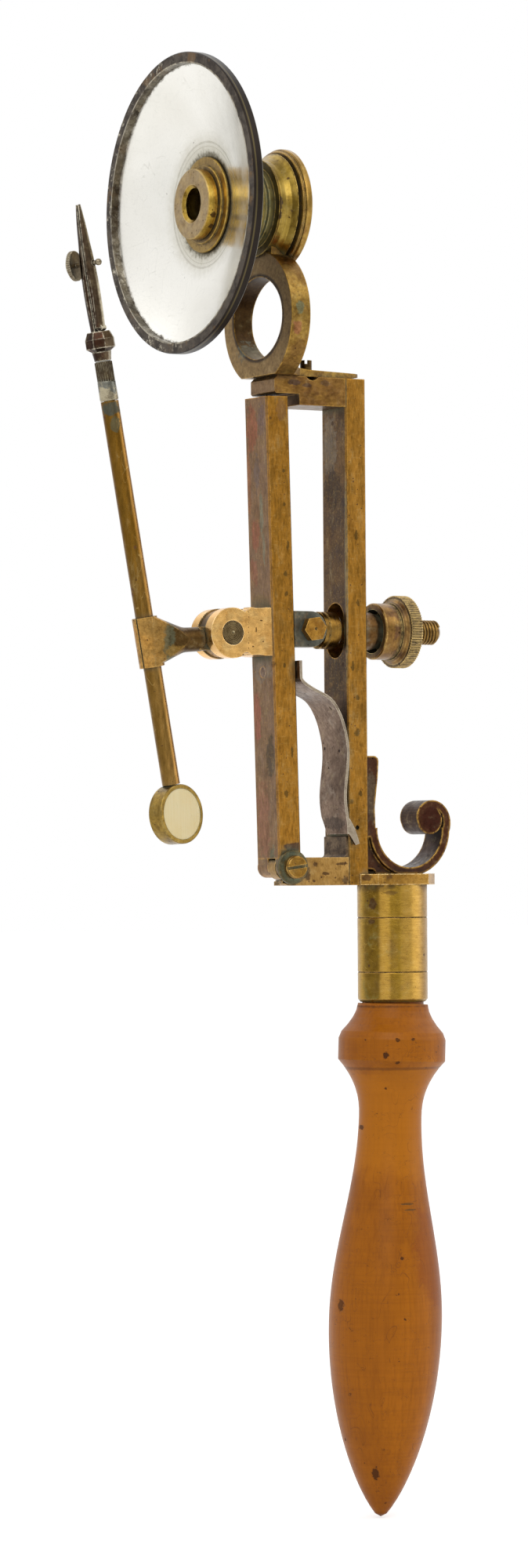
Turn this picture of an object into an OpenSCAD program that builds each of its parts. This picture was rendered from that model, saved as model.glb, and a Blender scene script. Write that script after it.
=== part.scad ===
// Hand-held compass microscope. The ferrule's axis is Z, the lens looks along -X, hinges turn about Y.
// The origin is the middle of the ferrule. All sizes are in millimetres and degrees.

/* [Handle and ferrule] */
// Length of the wooden handle below the ferrule
handle_len = 69.6; // [60:0.1:90]
// Diameter of the handle's pear-shaped belly
belly_d = 15.5; // [12:0.1:20]
// Distance from the ferrule down to the belly
belly_drop = 43.5; // [38:0.1:50]
// Diameter of the turned collar near the handle's top
collar_d = 14.7; // [12:0.1:18]
// Height of the collar's straight band
collar_h = 3.6; // [2:0.1:6]
// Diameter of the neck between collar and belly
neck_d = 8.6; // [6:0.1:10]
// Lean of the handle to the frame, as it sits on its tang
handle_lean = 2.1; // [0:0.1:3]
// Outer diameter of the brass ferrule
ferrule_d = 9.6; // [9:0.1:12]
// Length of the ferrule
ferrule_len = 16; // [12:0.5:24]
// Wall of the ferrule
ferrule_wall = 0.55; // [0.4:0.05:0.8]
// Diameter of the steel tang
tang_d = 3; // [2:0.1:4]

/* [Frame] */
// Width of the frame's bars along Y
bar_w = 6.35; // [5:0.05:8]
// Thickness of the fixed upright bar
rear_bar_t = 3.2; // [2.5:0.1:4]
// Distance of the fixed bar's middle in front of the ferrule's axis
rear_bar_off = 7.25; // [7:0.05:8]
// Height of the frame above the ferrule
frame_h = 68.9; // [60:0.1:85]
// Depth of the top arm
arm_h = 3.9; // [3:0.1:5]
// Depth of the top arm's thin front end
arm_tip_h = 2.4; // [1.8:0.1:3]
// Reach of the top arm in front of the fixed bar
arm_reach = 11.2; // [10:0.05:14]
// Length of the top arm's thin front end
arm_tip_len = 3.9; // [3.5:0.1:5]
// Depth of the foot arm
foot_h = 3.8; // [3.4:0.1:5]
// Thickness of the plate under the frame
plate_t = 1.5; // [1:0.1:2.5]
// Half width of the plate along Y
plate_half_w = 4.8; // [4.6:0.1:6]
// Width of the oval hole for the focusing screw
oval_w = 4.6; // [4.2:0.1:5]
// Height of the oval hole
oval_h = 7.5; // [5:0.1:8.5]

/* [Thumb scroll] */
// Width of the scroll along Y
scroll_w = 4.4; // [3:0.1:6]
// Height of the scroll's top end above the plate
scroll_h = 16.1; // [15:0.1:20]
// Radius of the scroll's hollow
scroll_r = 5.25; // [4.5:0.05:6]
// Thickness of the scroll's band
scroll_band = 1.15; // [0.8:0.05:1.5]
// Radius of the volute's eye
eye_r = 1.95; // [1.5:0.05:2.4]

/* [Lens head] */
// Height of the optical axis above the top arm
axis_rise = 22.8; // [21:0.1:26]
// Outer radius of the carrier ring
ring_r = 9.05; // [8.5:0.05:9.5]
// Half width of the carrier ring's oval hole
ring_hole_w = 6.45; // [5.8:0.05:7]
// Half height of the carrier ring's oval hole
ring_hole_h = 5.55; // [5.2:0.05:5.7]
// Thickness of the carrier ring along X
ring_t = 2.9; // [2:0.05:4]
// Diameter of the reflector over its rim
reflector_d = 40.4; // [36:0.1:44]
// Radius of curvature of the reflector's bowl
bowl_r = 49; // [40:0.5:60]
// Width of the rim's flat face
rim_w = 1.5; // [1:0.1:3]
// Depth of the rim's inner wall
rim_depth = 1.05; // [0.8:0.05:2]
// Thickness of the rim along its edge
rim_t = 1.45; // [1.2:0.05:1.6]
// Thickness of the reflector's shell
shell_t = 0.9; // [0.6:0.1:1.5]
// Diameter of the barrel's front part
barrel_d = 11; // [10:0.1:12]
// Diameter of the barrel's rear part
barrel_rear_d = 13.2; // [12.6:0.1:14]
// Flare of the barrel's rear part towards its rim
barrel_flare = 0.9; // [0.4:0.05:1.2]
// Diameter of the rim round the eye end
cap_d = 16.4; // [14:0.1:18]
// Diameter of the nose piece
nose_d = 9.5; // [9:0.1:11]
// Diameter of the nose piece's aperture
aperture_d = 4.3; // [3:0.1:5]
// Diameter of the lens
lens_d = 6.2; // [6:0.1:6.3]

/* [Hinged limb] */
// Width of the hinged limb along Y
limb_w = 5.9; // [5:0.05:7]
// Thickness of the hinged limb
limb_t = 3.5; // [3:0.1:4.5]
// Clear gap between the bars at the hinge
limb_gap = 7.35; // [7:0.05:9]
// Lean of the limb away from the fixed bar at rest
limb_lean = 1.4; // [0.5:0.1:3]
// Radius of the hinge screw's shank
hinge_r = 0.9; // [0.7:0.05:1.1]
// Thickness of the hinge's middle tongue
tongue_t = 1.85; // [1.6:0.05:2.2]
// Offset of the tongue towards the near side
tongue_off = 0.75; // [0:0.05:0.8]
// Radius of the washer under the hinge screw's head
washer_r = 2.3; // [2:0.05:2.4]
// Width of the leaf spring along Y
spring_w = 6.5; // [6:0.1:7.5]
// Overhang of the leaf spring past the fixed bar's near face
spring_over = 0.7; // [0.65:0.05:1.2]
// Thickness of the leaf spring
spring_t = 0.4; // [0.3:0.05:0.6]

/* [Focusing screw] */
// Height of the screw's axis above the frame's foot
focus_rise = 34.7; // [32:0.1:40]
// Diameter of the screw's core
screw_core_d = 3.1; // [2.6:0.1:3.2]
// Diameter of the screw over its thread
thread_d = 3.46; // [3.2:0.02:3.6]
// Diameter of the screw's half-lapped head
head_d = 5.1; // [4.6:0.1:5.6]
// Length of the threaded end behind the nut
thread_end = 5.2; // [4:0.1:8]
// Diameter of the nut's sleeve
nut_d = 7.75; // [7:0.05:8.6]
// Diameter of the nut's knurled flange
knurl_d = 9.95; // [9:0.05:12]
// Width of the knurled flange
knurl_w = 1.75; // [1.2:0.05:3]
// Number of knurls round the flange
knurl_count = 84; // [48:1:96]

/* [Specimen arm] */
// Distance of the compass pin in front of the limb's face
pin_reach = 6.1; // [5.9:0.1:8]
// Radius of the compass joint's cheeks
cheek_r = 3.4; // [3:0.05:4]
// Width of the compass fork along Y
fork_w = 5.6; // [5:0.1:6]
// Radius of the compass pin
pin_r = 1.5; // [1.2:0.05:1.8]
// Distance from the compass pin to the sleeve's axis
arm_len = 11.5; // [11:0.1:16]
// Outer radius of the split sleeve
sleeve_r = 1.7; // [1.6:0.05:2.2]
// Length of the split sleeve
sleeve_len = 6.7; // [5:0.1:9]
// Lean of the specimen rod at rest
rod_lean = 10.05; // [0:0.05:12]
// Diameter of the specimen rod
rod_d = 2.42; // [1.8:0.02:2.6]
// Length of the rod above the sleeve's middle
rod_up = 32.5; // [26:0.1:40]
// Length of the rod below the sleeve's middle
rod_down = 19.3; // [17:0.1:30]
// Diameter of the disc cup
disc_d = 8; // [6:0.1:10]
// Thickness of the disc cup
disc_t = 2.4; // [2.2:0.1:4]
// Width of the cup's rim round the discs
disc_rim = 0.55; // [0.4:0.05:1]
// Turn of the disc cup about the rod at rest
disc_turn = 15.4; // [-90:0.1:90]

/* [Forceps] */
// Length of the jaws beyond the knop
jaw_len = 17; // [12:0.1:24]
// Width of a jaw at its root
jaw_w = 2; // [1.4:0.1:2.6]
// Thickness of both jaws together, where they are widest
jaws_t = 2.3; // [2:0.1:3]
// Diameter of the faceted knop
knop_d = 4.1; // [3.4:0.1:5]
// Diameter of the knurled button
button_d = 4.05; // [3:0.05:5]
// Travel of the button
button_gap = 0.5; // [0.4:0.05:0.8]
// Turn of the forceps about the rod at rest
forceps_turn = -56; // [-90:1:90]

/* [Hidden] */
$fn = 64;
// Radial clearances: a turning or sliding fit, and the open pivot where nut and screw meet
run_fit = 0.03;
nut_fit = 0.2;
// Radial clearance of a pin or screw that does not turn in use
tight_fit = 0.02;
// Gap between faces of pieces that only lie on each other
seat_gap = 0.05;
// Gap between pieces of different moving bodies
clear_gap = 0.2;
// Chamfer along the bars' long edges
edge = 0.22;

foot_z = ferrule_len / 2;
arm_top_z = foot_z + frame_h;
rear_front_x = -rear_bar_off - rear_bar_t / 2;
rear_back_x = -rear_bar_off + rear_bar_t / 2;
arm_tip_x = rear_front_x - arm_reach;

pin_x = rear_front_x - limb_gap - limb_t / 2;
pin_z = foot_z + 2.5;
ear_r = 1.42;
ear_off = limb_t / 2 - ear_r - 0.05;
shoulder_h = 1.2;
tongue_y = -tongue_off;
limb_len = (arm_top_z - arm_tip_h - 0.4 - pin_z) / cos(limb_lean);
socket_r = limb_t / 2 + 0.45;
slot_half = tongue_t / 2 + seat_gap;
washer_hub = bar_w / 2 - limb_w / 2 + 2 * seat_gap;
washer_t = 0.45;

rivet_up = 26.45;
rivet_r = 0.7;
spring_tab_z = pin_z + rivet_up * cos(limb_lean);
spring_bend_z = spring_tab_z - 0.95;
spring_low_z = foot_z + foot_h + 3.15;
spring_x = rear_front_x - clear_gap - spring_t / 2;
tab_x = limb_back_x(spring_bend_z) + spring_t / 2 + 0.03;
spring_near_y = -bar_w / 2 - spring_over;

focus_z = foot_z + focus_rise;
lug_reach = 2.58;
bolt_x = limb_back_x(focus_z) + lug_reach;
lug_h = head_d - 0.25;
lug_near_y = -limb_w / 2 + 0.05;
lug_t = 2.4;
bolt_r = 0.9;
screw_r = screw_core_d / 2;
nut_bore_r = thread_d / 2 + nut_fit;
nut_front_x = rear_back_x + 2.7;
flange_x = nut_front_x + 3.45;
nut_back_x = flange_x + knurl_w;
cup_depth = 1.95;
screw_end_x = nut_back_x + thread_end;

axis_z = arm_top_z + axis_rise;
ring_front_x = arm_tip_x - 0.7;
ring_back_x = ring_front_x + ring_t;
ring_z = axis_z - 14.9;
foot_face_z = arm_top_z + seat_gap;
barrel_mid_x = ring_front_x - 0.35;
barrel_end_x = barrel_mid_x + 2.9;
cap_t = 1.4;
lip_x = barrel_mid_x - 10.85;
rim_front_x = lip_x - rim_depth;
bowl_edge_r = reflector_d / 2 - rim_w;
spigot_r = 4.2;
cell_r = lens_d / 2 + 0.1;
shoulder_x = bowl_x(spigot_r) + shell_t + seat_gap;
flange_back_x = bowl_x(6.5) - seat_gap;
flange_front_x = flange_back_x - 0.7;
nose_front_x = flange_front_x - 1.6;
tail_x = rear_back_x + 0.4;
tail_t = 0.95;
tail_screw_x = arm_tip_x + 6.85;
tail_screw_r = 0.6;

fork_pin_z = foot_z + 34;
sleeve_z = fork_pin_z - 1.35;
sleeve_x = limb_face_x(fork_pin_z) - pin_reach - arm_len;
fork_pin_x = limb_face_x(fork_pin_z) - pin_reach;
cup_w = -rod_down - disc_d / 2 - seat_gap;
pivot_r = 0.45;
tenon_r = 0.75;
joint_half = 1;
shank_top = 3.5;
shank_low = 3;
socket_len = 5.3;
knop_w = rod_up + socket_len + 0.1;
jaw_w0 = knop_w + 3.9;
button_w = jaw_w0 + 9.1;
spigot_w = rod_up + 4.5;
button_pin_r = 0.3;
jaw_half = jaws_t / 2 - 0.15;
jaw_split = 0.12;
jaw_root_r = (jaw_half - jaw_split) / 2;

// X of the limb's front face at height z, with the limb leaning about its hinge
function limb_face_x(z) = pin_x - (z - pin_z) * tan(limb_lean) - limb_t / 2 / cos(limb_lean);
// X of the limb's back face at height z
function limb_back_x(z) = limb_face_x(z) + limb_t / cos(limb_lean);
// X of the reflector's bowl at radius r
function bowl_x(r) = lip_x + sqrt(pow(bowl_r, 2) - pow(r, 2)) - sqrt(pow(bowl_r, 2) - pow(bowl_edge_r, 2));
// Outline of the barrel's rear part, grown by extra: sharp front edge, waist, flare and groove
function rear_outline(extra) =
    let (
        waist = [[0, 0], [0.45, -0.25], [1.1, -0.15]],
        flare = [[1.8, 0.28 * barrel_flare], [2.5, barrel_flare]],
        groove = [[2.55, 0.2], [2.9, 0.2]]
    )
    [for (p = concat(waist, flare, groove)) [barrel_mid_x + p[0], barrel_rear_d / 2 + p[1] + extra]];
// Point of an arc about [cx, cz]
function arc_point(cx, cz, r, a) = [cx + r * cos(a), cz + r * sin(a)];

// A cylinder along X from x0 to x1
module x_cylinder(r, x0, x1) {
    translate([x0, 0, 0]) rotate([0, 90, 0]) cylinder(r = r, h = x1 - x0);
}

// A cylinder along Y from y0 to y1
module y_cylinder(r, y0, y1) {
    translate([0, y0, 0]) rotate([-90, 0, 0]) cylinder(r = r, h = y1 - y0);
}

// An oval bar along X from x0 to x1, of four arcs: w and h are its half width and half height
module x_oval(w, h, side_r, x0, x1) {
    top_r = (pow(w - side_r, 2) + h * h - side_r * side_r) / (2 * (h - side_r));
    meet_y = (w - side_r) * (1 + side_r / (top_r - side_r));
    intersection() {
        translate([0, 0, h - top_r]) x_cylinder(top_r, x0, x1);
        translate([0, 0, top_r - h]) x_cylinder(top_r, x0, x1);
        union() {
            box([x0, -meet_y, -h], [x1, meet_y, h]);
            for (side = [-1, 1]) translate([0, side * (w - side_r), 0]) x_cylinder(side_r, x0, x1);
        }
    }
}

// A box given by its two corners
module box(a, b) {
    translate(a) cube(b - a);
}

// A solid turned about the X axis from points [x, r]
module turned_x(points) {
    rotate([0, 90, 0]) rotate_extrude() polygon([for (p = points) [p[1], p[0]]]);
}

// An XZ outline made w thick, centred on Y
module slab_y(w) {
    rotate([90, 0, 0]) linear_extrude(height = w, center = true) children();
}

// A rectangle with its four corners cut
module cut_rectangle(a, b, c) {
    polygon([
        [-a / 2 + c, -b / 2], [a / 2 - c, -b / 2], [a / 2, -b / 2 + c], [a / 2, b / 2 - c],
        [a / 2 - c, b / 2], [-a / 2 + c, b / 2], [-a / 2, b / 2 - c], [-a / 2, -b / 2 + c]
    ]);
}

// A wheel outline with count knurls, depth deep
module knurled_circle(r, count, depth) {
    polygon([
        for (i = [0 : count - 1], k = [0 : 1])
            let (a = 360 * (i + k / 2) / count)
                [(r - k * depth) * cos(a), (r - k * depth) * sin(a)]
    ]);
}

// The slot across a screw's head, which is r wide and lies at height z
module driver_slot(r, z, width, depth) {
    translate([-r - 1, -width / 2, z - depth]) cube([2 * r + 2, width, depth + 1]);
}

// Places what belongs to the hinged limb: origin on the hinge, Z along the limb
module limb_frame() {
    translate([pin_x, 0, pin_z]) rotate([0, -limb_lean, 0]) children();
}

// Places what belongs to the specimen rod: origin in the sleeve, Z up along the rod
module rod_frame() {
    translate([sleeve_x, 0, sleeve_z]) rotate([0, -rod_lean, 0]) children();
}

// Places what belongs to the forceps
module forceps_frame() {
    rod_frame() rotate([0, 0, forceps_turn]) children();
}

// Radius of the handle u below its top, from collar flare over neck and belly to the tip
function handle_radius(u) =
    let (
        top_u = 3.9, low_u = top_u + collar_h + 0.6, neck_u = 15.2,
        collar_r = collar_d / 2 - 0.35, neck_r = neck_d / 2, belly_r = belly_d / 2,
        tip = 1 - pow((u - belly_drop) / (handle_len - belly_drop + 0.7), 2)
    )
    u < top_u ? ferrule_d / 2 + (collar_r - ferrule_d / 2) * pow(u / top_u, 1.7)
    : u < low_u ? collar_d / 2
    : u < neck_u ? neck_r + (collar_r - neck_r) * pow((neck_u - u) / (neck_u - low_u), 2.2)
    : u < belly_drop ? neck_r + (belly_r - neck_r) * (1 - cos(180 * (u - neck_u) / (belly_drop - neck_u))) / 2
    : belly_r * pow(max(tip, 0), 0.77);

module handle() {
    steps = 72;
    gap = 0.3;
    neck_tenon_r = ferrule_d / 2 - ferrule_wall - run_fit;
    outline = [for (i = [0 : steps]) let (u = handle_len * i / steps) [handle_radius(u), -u]];
    color("peru") difference() {
        union() {
            translate([0, 0, -foot_z - gap]) rotate([0, handle_lean, 0]) rotate_extrude()
                polygon(concat([[0, 0]], outline, [[0, -handle_len - 0.4]]));
            translate([0, 0, -foot_z - gap - 2]) cylinder(r = neck_tenon_r, h = ferrule_len - 1.7);
        }
        translate([0, 0, -foot_z - 18]) cylinder(d = tang_d + 0.1, h = 60);
    }
}

module ferrule() {
    r = ferrule_d / 2;
    line = 0.12;
    lines_z = [-foot_z * 0.49, foot_z * 0.44];
    grooves = [for (z = lines_z, k = [-1 : 1]) [r - (k == 0 ? line : 0), z + k * line]];
    color("goldenrod") rotate_extrude() polygon(concat(
        [[r - ferrule_wall, -foot_z], [r - 0.35, -foot_z], [r, -foot_z + 0.4]],
        grooves,
        [[r, foot_z], [r - ferrule_wall, foot_z]]
    ));
}

// The tang hangs from the plate, thinner in the wood than in the ferrule
module handle_tang() {
    color("dimgray") {
        translate([0, 0, -foot_z - 17.5]) cylinder(d1 = 1.2, d2 = tang_d, h = 12);
        translate([0, 0, -foot_z - 5.5]) cylinder(d = tang_d, h = ferrule_len + 5.5 + plate_t / 2);
    }
}

module base_plate() {
    front_x = rear_front_x + 1.6;
    half = bar_w / 2;
    color("gold") translate([0, 0, foot_z]) difference() {
        linear_extrude(height = plate_t) difference() {
            polygon([
                [front_x, -half], [front_x + 2.1, -plate_half_w], [2.9, -plate_half_w], [5.6, -2.1],
                [5.6, 2.1], [2.9, plate_half_w], [front_x + 2.1, plate_half_w], [front_x, half]
            ]);
            translate([front_x - 1, -half - seat_gap]) square([rear_back_x - front_x + 1, 2 * half + 0.1]);
        }
        translate([0, 0, -0.01]) cylinder(d = tang_d + 0.02, h = plate_t / 2 + 0.01);
    }
}

// Half ring of the scroll's hollow, open at the top
module scroll_ring() {
    difference() {
        circle(r = scroll_r + scroll_band);
        circle(r = scroll_r);
        translate([-20, 0.2]) square([40, 20]);
    }
}

// The scroll: a strap up the fixed bar's back, a ring round the hollow and a volute in to the eye
module scroll() {
    plate_top = foot_z + plate_t;
    left_x = rear_back_x;
    top_z = plate_top + scroll_h;
    hollow = [left_x + 7.25, plate_top + 6.1];
    eye = [hollow[0] + scroll_r - 2, hollow[1] + 1.25];
    first = 3.55;
    step = 0.071;
    turn = [for (a = [-30 : 10 : 210]) a];
    last = len(turn) - 1;
    color("saddlebrown") difference() {
        union() {
            slab_y(scroll_w) {
                translate(hollow) scroll_ring();
                polygon(concat(
                    [[left_x, plate_top + 5], [left_x, top_z], [left_x + 1.5, top_z]],
                    [for (a = [70 : -35 : 0]) arc_point(left_x + 1.55, top_z - 0.7, 0.7, a)],
                    [[left_x + 2.1, top_z - 3], [left_x + 1.6, top_z - 7], [left_x + 1.75, plate_top + 5]]
                ));
                polygon(concat(
                    [for (i = [0 : last]) arc_point(eye[0], eye[1], first - step * i, turn[i])],
                    [for (i = [last : -1 : 0])
                        arc_point(eye[0], eye[1], first - step * i - scroll_band * (1 - i / 60), turn[i])]
                ));
                translate(eye) circle(r = eye_r);
            }
            slab_y(scroll_w - 1.3) difference() {
                polygon([
                    [left_x, plate_top + 6.5], [left_x, plate_top + 0.8], [left_x + 1.7, plate_top + 0.6],
                    [left_x + 2.05, plate_top + 0.3], [left_x + 2.1, plate_top - 0.5],
                    [hollow[0] + 2.9, plate_top - 0.5], [hollow[0], plate_top + 0.5]
                ]);
                translate(hollow) circle(r = scroll_r + 0.3);
            }
        }
        box([left_x - 1, -scroll_w, plate_top - 5], [hollow[0] + 20, scroll_w, plate_top]);
    }
}

module rear_bar() {
    color("darkgoldenrod") difference() {
        translate([-rear_bar_off, 0, foot_z]) linear_extrude(height = frame_h)
            cut_rectangle(rear_bar_t, bar_w, edge);
        translate([0, 0, focus_z]) {
            for (side = [-1, 1])
                translate([0, 0, side * (oval_h - oval_w) / 2])
                    x_cylinder(oval_w / 2, rear_front_x - 1, rear_back_x + 1);
            box([rear_front_x - 1, -oval_w / 2, -(oval_h - oval_w) / 2],
                [rear_back_x + 1, oval_w / 2, (oval_h - oval_w) / 2]);
        }
    }
}

module top_arm() {
    low_z = arm_top_z - arm_h;
    tip_z = arm_top_z - arm_tip_h;
    step_x = arm_tip_x + arm_tip_len;
    color("darkgoldenrod") difference() {
        slab_y(bar_w) polygon([
            [arm_tip_x + edge, tip_z], [step_x, tip_z], [step_x, low_z], [rear_front_x, low_z],
            [rear_front_x, arm_top_z], [arm_tip_x + 0.5, arm_top_z], [arm_tip_x, arm_top_z - 0.5],
            [arm_tip_x, tip_z + edge]
        ]);
        translate([tail_screw_x, 0, low_z + 0.8]) cylinder(r = tail_screw_r + tight_fit, h = arm_h);
        translate([tail_screw_x - 0.9, 0, arm_top_z + 0.65]) y_cylinder(1.15, -bar_w, bar_w);
    }
}

// The foot arm ends in the hinge's tongue, with a socket each side for the limb's ears
// and a lip under the near one
module foot_arm() {
    half = bar_w / 2;
    tongue_r = limb_t / 2;
    near_y = tongue_y - tongue_t / 2;
    far_y = tongue_y + tongue_t / 2;
    lip_w = (far_y + half) / 2;
    color("gold") difference() {
        union() {
            box([pin_x + 1, -half, foot_z], [rear_front_x, half, foot_z + foot_h]);
            translate([pin_x, 0, pin_z]) difference() {
                union() {
                    y_cylinder(tongue_r, near_y, far_y);
                    box([0, near_y, foot_z - pin_z], [2, far_y, 0]);
                }
                box([-3, near_y - 1, shoulder_h - 0.25], [3, far_y + 1, 3]);
            }
            intersection() {
                slab_y(bar_w) polygon([
                    [pin_x + 1.2, foot_z], [pin_x - 0.1, foot_z], [pin_x - 1.1, foot_z + 0.5],
                    [pin_x - 1.1, foot_z + 0.7], [pin_x + 1.2, foot_z + 0.7]
                ]);
                translate([pin_x + 1.1, far_y - lip_w, foot_z - 1]) cylinder(r = lip_w, h = 3);
            }
        }
        for (side = [-1, 1]) {
            low_y = side < 0 ? -half - 1 : far_y;
            high_y = side < 0 ? near_y : half + 1;
            translate([pin_x, 0, pin_z]) {
                y_cylinder(socket_r, low_y, high_y);
                box([-9, low_y, side < 0 ? -1.6 : -5], [side < 0 ? 0 : 0.9, high_y, 5]);
                box([-9, low_y, 0], [socket_r, high_y, 5]);
            }
        }
        translate([pin_x, 0, pin_z]) {
            y_cylinder(hinge_r + run_fit, -half, half);
            box([-9, -half - 1, shoulder_h - 0.25], [socket_r, half + 1, 5]);
        }
    }
}

// Thin steel plate in the corner, where the spring's end bears
module spring_seat() {
    t = 0.35;
    fillet = 0.5;
    low = foot_z + foot_h;
    color("dimgray") translate([0, -0.15, 0]) slab_y(bar_w - 0.6) polygon(concat(
        [[rear_front_x, low], [rear_front_x, low + 2.9], [rear_front_x - t, low + 2.8]],
        [for (a = [0 : -24 : -72]) arc_point(rear_front_x - t - fillet, low + fillet, fillet, a)],
        [[rear_front_x - t - fillet, low]]
    ));
}

// Ring with an oval hole and a flat foot, a saddle for the barrel and a tapered tail held by one screw
module lens_carrier() {
    foot_w = sqrt(pow(ring_r, 2) - pow(ring_z - foot_face_z, 2));
    saddle_w = 3.4;
    cap_cut = cap_d / 2 - 0.28;
    color("rosybrown") difference() {
        union() {
            translate([0, 0, ring_z]) x_cylinder(ring_r, ring_front_x, ring_back_x);
            box([ring_front_x + 0.2, -saddle_w, ring_z + 7], [ring_back_x - 0.2, saddle_w, axis_z - 5.4]);
            intersection() {
                translate([0, 0, foot_face_z]) linear_extrude(height = 3) {
                    polygon([
                        [ring_front_x + 1, -foot_w], [ring_back_x, -foot_w], [ring_back_x + 2, -2.9],
                        [tail_x - 1.6, -1.7], [tail_x - 1.6, 1.7], [ring_back_x + 2, 2.9],
                        [ring_back_x, foot_w], [ring_front_x + 1, foot_w]
                    ]);
                    translate([tail_x - 1.7, 0]) circle(r = 1.7);
                }
                slab_y(12) polygon([
                    [ring_front_x, foot_face_z], [tail_x - 3, foot_face_z], [tail_x, foot_face_z + 0.4],
                    [tail_x, foot_face_z + tail_t - 0.15], [tail_screw_x - 1.2, foot_face_z + tail_t - 0.02],
                    [ring_back_x, foot_face_z + tail_t + 0.3], [ring_front_x, foot_face_z + tail_t + 0.3]
                ]);
            }
        }
        translate([0, 0, ring_z]) x_oval(ring_hole_w, ring_hole_h, 4.7, ring_front_x - 1, ring_back_x + 1);
        translate([0, 0, axis_z]) turned_x(concat(
            [[barrel_mid_x, 0]], rear_outline(0.02),
            [[barrel_end_x - 0.02, cap_cut], [ring_back_x + 1, cap_cut], [ring_back_x + 1, 0]]
        ));
        box([ring_front_x - 1, -ring_r, foot_face_z - 5], [ring_back_x + 1, ring_r, foot_face_z]);
        translate([tail_screw_x, 0, foot_face_z - 1]) cylinder(r = tail_screw_r + 2 * tight_fit, h = 6);
    }
}

module carrier_screw() {
    head_z = foot_face_z + tail_t;
    head_r = 0.8;
    head_h = 1.5;
    color("darkgoldenrod") translate([tail_screw_x, 0, 0]) difference() {
        union() {
            translate([0, 0, arm_top_z - 2.6]) cylinder(r = tail_screw_r, h = head_z - arm_top_z + 2.7);
            translate([0, 0, head_z]) cylinder(r = head_r, h = head_h);
        }
        rotate([0, 0, 60]) driver_slot(head_r, head_z + head_h, 0.35, 0.5);
    }
}

// Barrel with a spigot for the reflector, a grooved front part, a flared rear part and a wide eye bore
module lens_barrel() {
    front = barrel_d / 2;
    groove = 0.35;
    color("olive") translate([0, 0, axis_z]) turned_x(concat(
        [[flange_front_x + 0.1, cell_r + 0.05], [flange_front_x + 0.1, spigot_r], [shoulder_x, spigot_r],
         [shoulder_x, front - 0.2], [shoulder_x + 0.2, front], [barrel_mid_x - 1.7, front],
         [barrel_mid_x - 1.5, front - groove], [barrel_mid_x - 1.1, front - groove],
         [barrel_mid_x - 0.9, front], [barrel_mid_x, front]],
        rear_outline(0),
        [[barrel_end_x, 5], [barrel_mid_x - 1, 5], [barrel_mid_x - 1, cell_r + 0.05]]
    ));
}

// Stepped rim at the eye end, dished down to the eye hole
module barrel_cap() {
    eye_hole = 2;
    rim = cap_d / 2;
    step = rim - 0.3;
    back = barrel_end_x + cap_t;
    color("olive") translate([0, 0, axis_z]) turned_x([
        [barrel_end_x - 2.4, eye_hole], [barrel_end_x - 2.4, 4.95], [barrel_end_x, 4.95],
        [barrel_end_x, step - 0.15], [barrel_end_x + 0.12, step], [barrel_end_x + 0.42, step],
        [barrel_end_x + 0.5, rim - 0.1], [barrel_end_x + 0.65, rim], [back - 0.15, rim], [back, rim - 0.15],
        [back, 5.6], [back - 1, 3.6], [back - 1.4, eye_hole]
    ]);
}

// Small double convex lens
module lens() {
    mid = barrel_mid_x - 3.4;
    r = lens_d / 2;
    sphere_r = 5.5;
    half_edge = 0.35;
    sag = sphere_r - sqrt(pow(sphere_r, 2) - pow(r, 2));
    steps = 8;
    front = [for (i = [0 : steps]) let (q = r * i / steps)
        [mid - half_edge - sag + sphere_r - sqrt(pow(sphere_r, 2) - pow(q, 2)), q]];
    back = [for (i = [steps : -1 : 0]) let (q = r * i / steps)
        [mid + half_edge + sag - sphere_r + sqrt(pow(sphere_r, 2) - pow(q, 2)), q]];
    color("lightcyan") translate([0, 0, axis_z]) turned_x(concat(front, back));
}

module lens_stop() {
    front = barrel_mid_x - 2.84;
    color("black") translate([0, 0, axis_z]) turned_x([
        [front, lens_d / 2 - 0.25], [front, cell_r + 0.02], [front + 0.9, cell_r + 0.02], [front + 0.9, 2.2],
        [front + 0.5, 2.2]
    ]);
}

// Nose piece screwed into the spigot, with the small aperture
module objective_nose() {
    shank_end = barrel_mid_x - 4.4;
    r = nose_d / 2;
    hole = aperture_d / 2;
    color("tan") translate([0, 0, axis_z]) turned_x([
        [nose_front_x, hole + 0.45], [nose_front_x, r - 0.12], [nose_front_x + 0.12, r],
        [flange_front_x - 0.22, r], [flange_front_x - 0.12, r - 0.22], [flange_front_x - 0.02, r - 0.22],
        [flange_front_x - 0.02, cell_r],
        [shank_end, cell_r], [shank_end, hole], [nose_front_x + 0.4, hole]
    ]);
}

// Spun bowl with a thick rim: sphere inside, parallel shell behind
module reflector() {
    steps = 20;
    hole = spigot_r + 0.06;
    rim_r = reflector_d / 2;
    radii = [for (i = [0 : steps]) hole + (bowl_edge_r - hole) * i / steps];
    color("gainsboro") translate([0, 0, axis_z]) turned_x(concat(
        [for (r = radii) [bowl_x(r), r]],
        [[rim_front_x, bowl_edge_r], [rim_front_x, rim_r - 0.12], [rim_front_x + 0.12, rim_r],
         [rim_front_x + rim_t - 0.12, rim_r], [rim_front_x + rim_t, rim_r - 0.12]],
        [for (i = [steps : -1 : 0]) [bowl_x(radii[i]) + shell_t, radii[i]]]
    ));
}

// Thin stepped brass ring that holds the reflector on the spigot
module reflector_flange() {
    step = nose_d / 2 + 0.55;
    rim = step + 1.15;
    color("gold") translate([0, 0, axis_z]) turned_x([
        [flange_front_x, spigot_r + 0.02], [flange_front_x, step - 0.12], [flange_front_x + 0.12, step],
        [flange_front_x + 0.3, step], [flange_front_x + 0.3, rim - 0.12], [flange_front_x + 0.42, rim],
        [flange_back_x - 0.08, rim], [flange_back_x, rim - 0.1], [flange_back_x, spigot_r + 0.02]
    ]);
}

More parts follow.
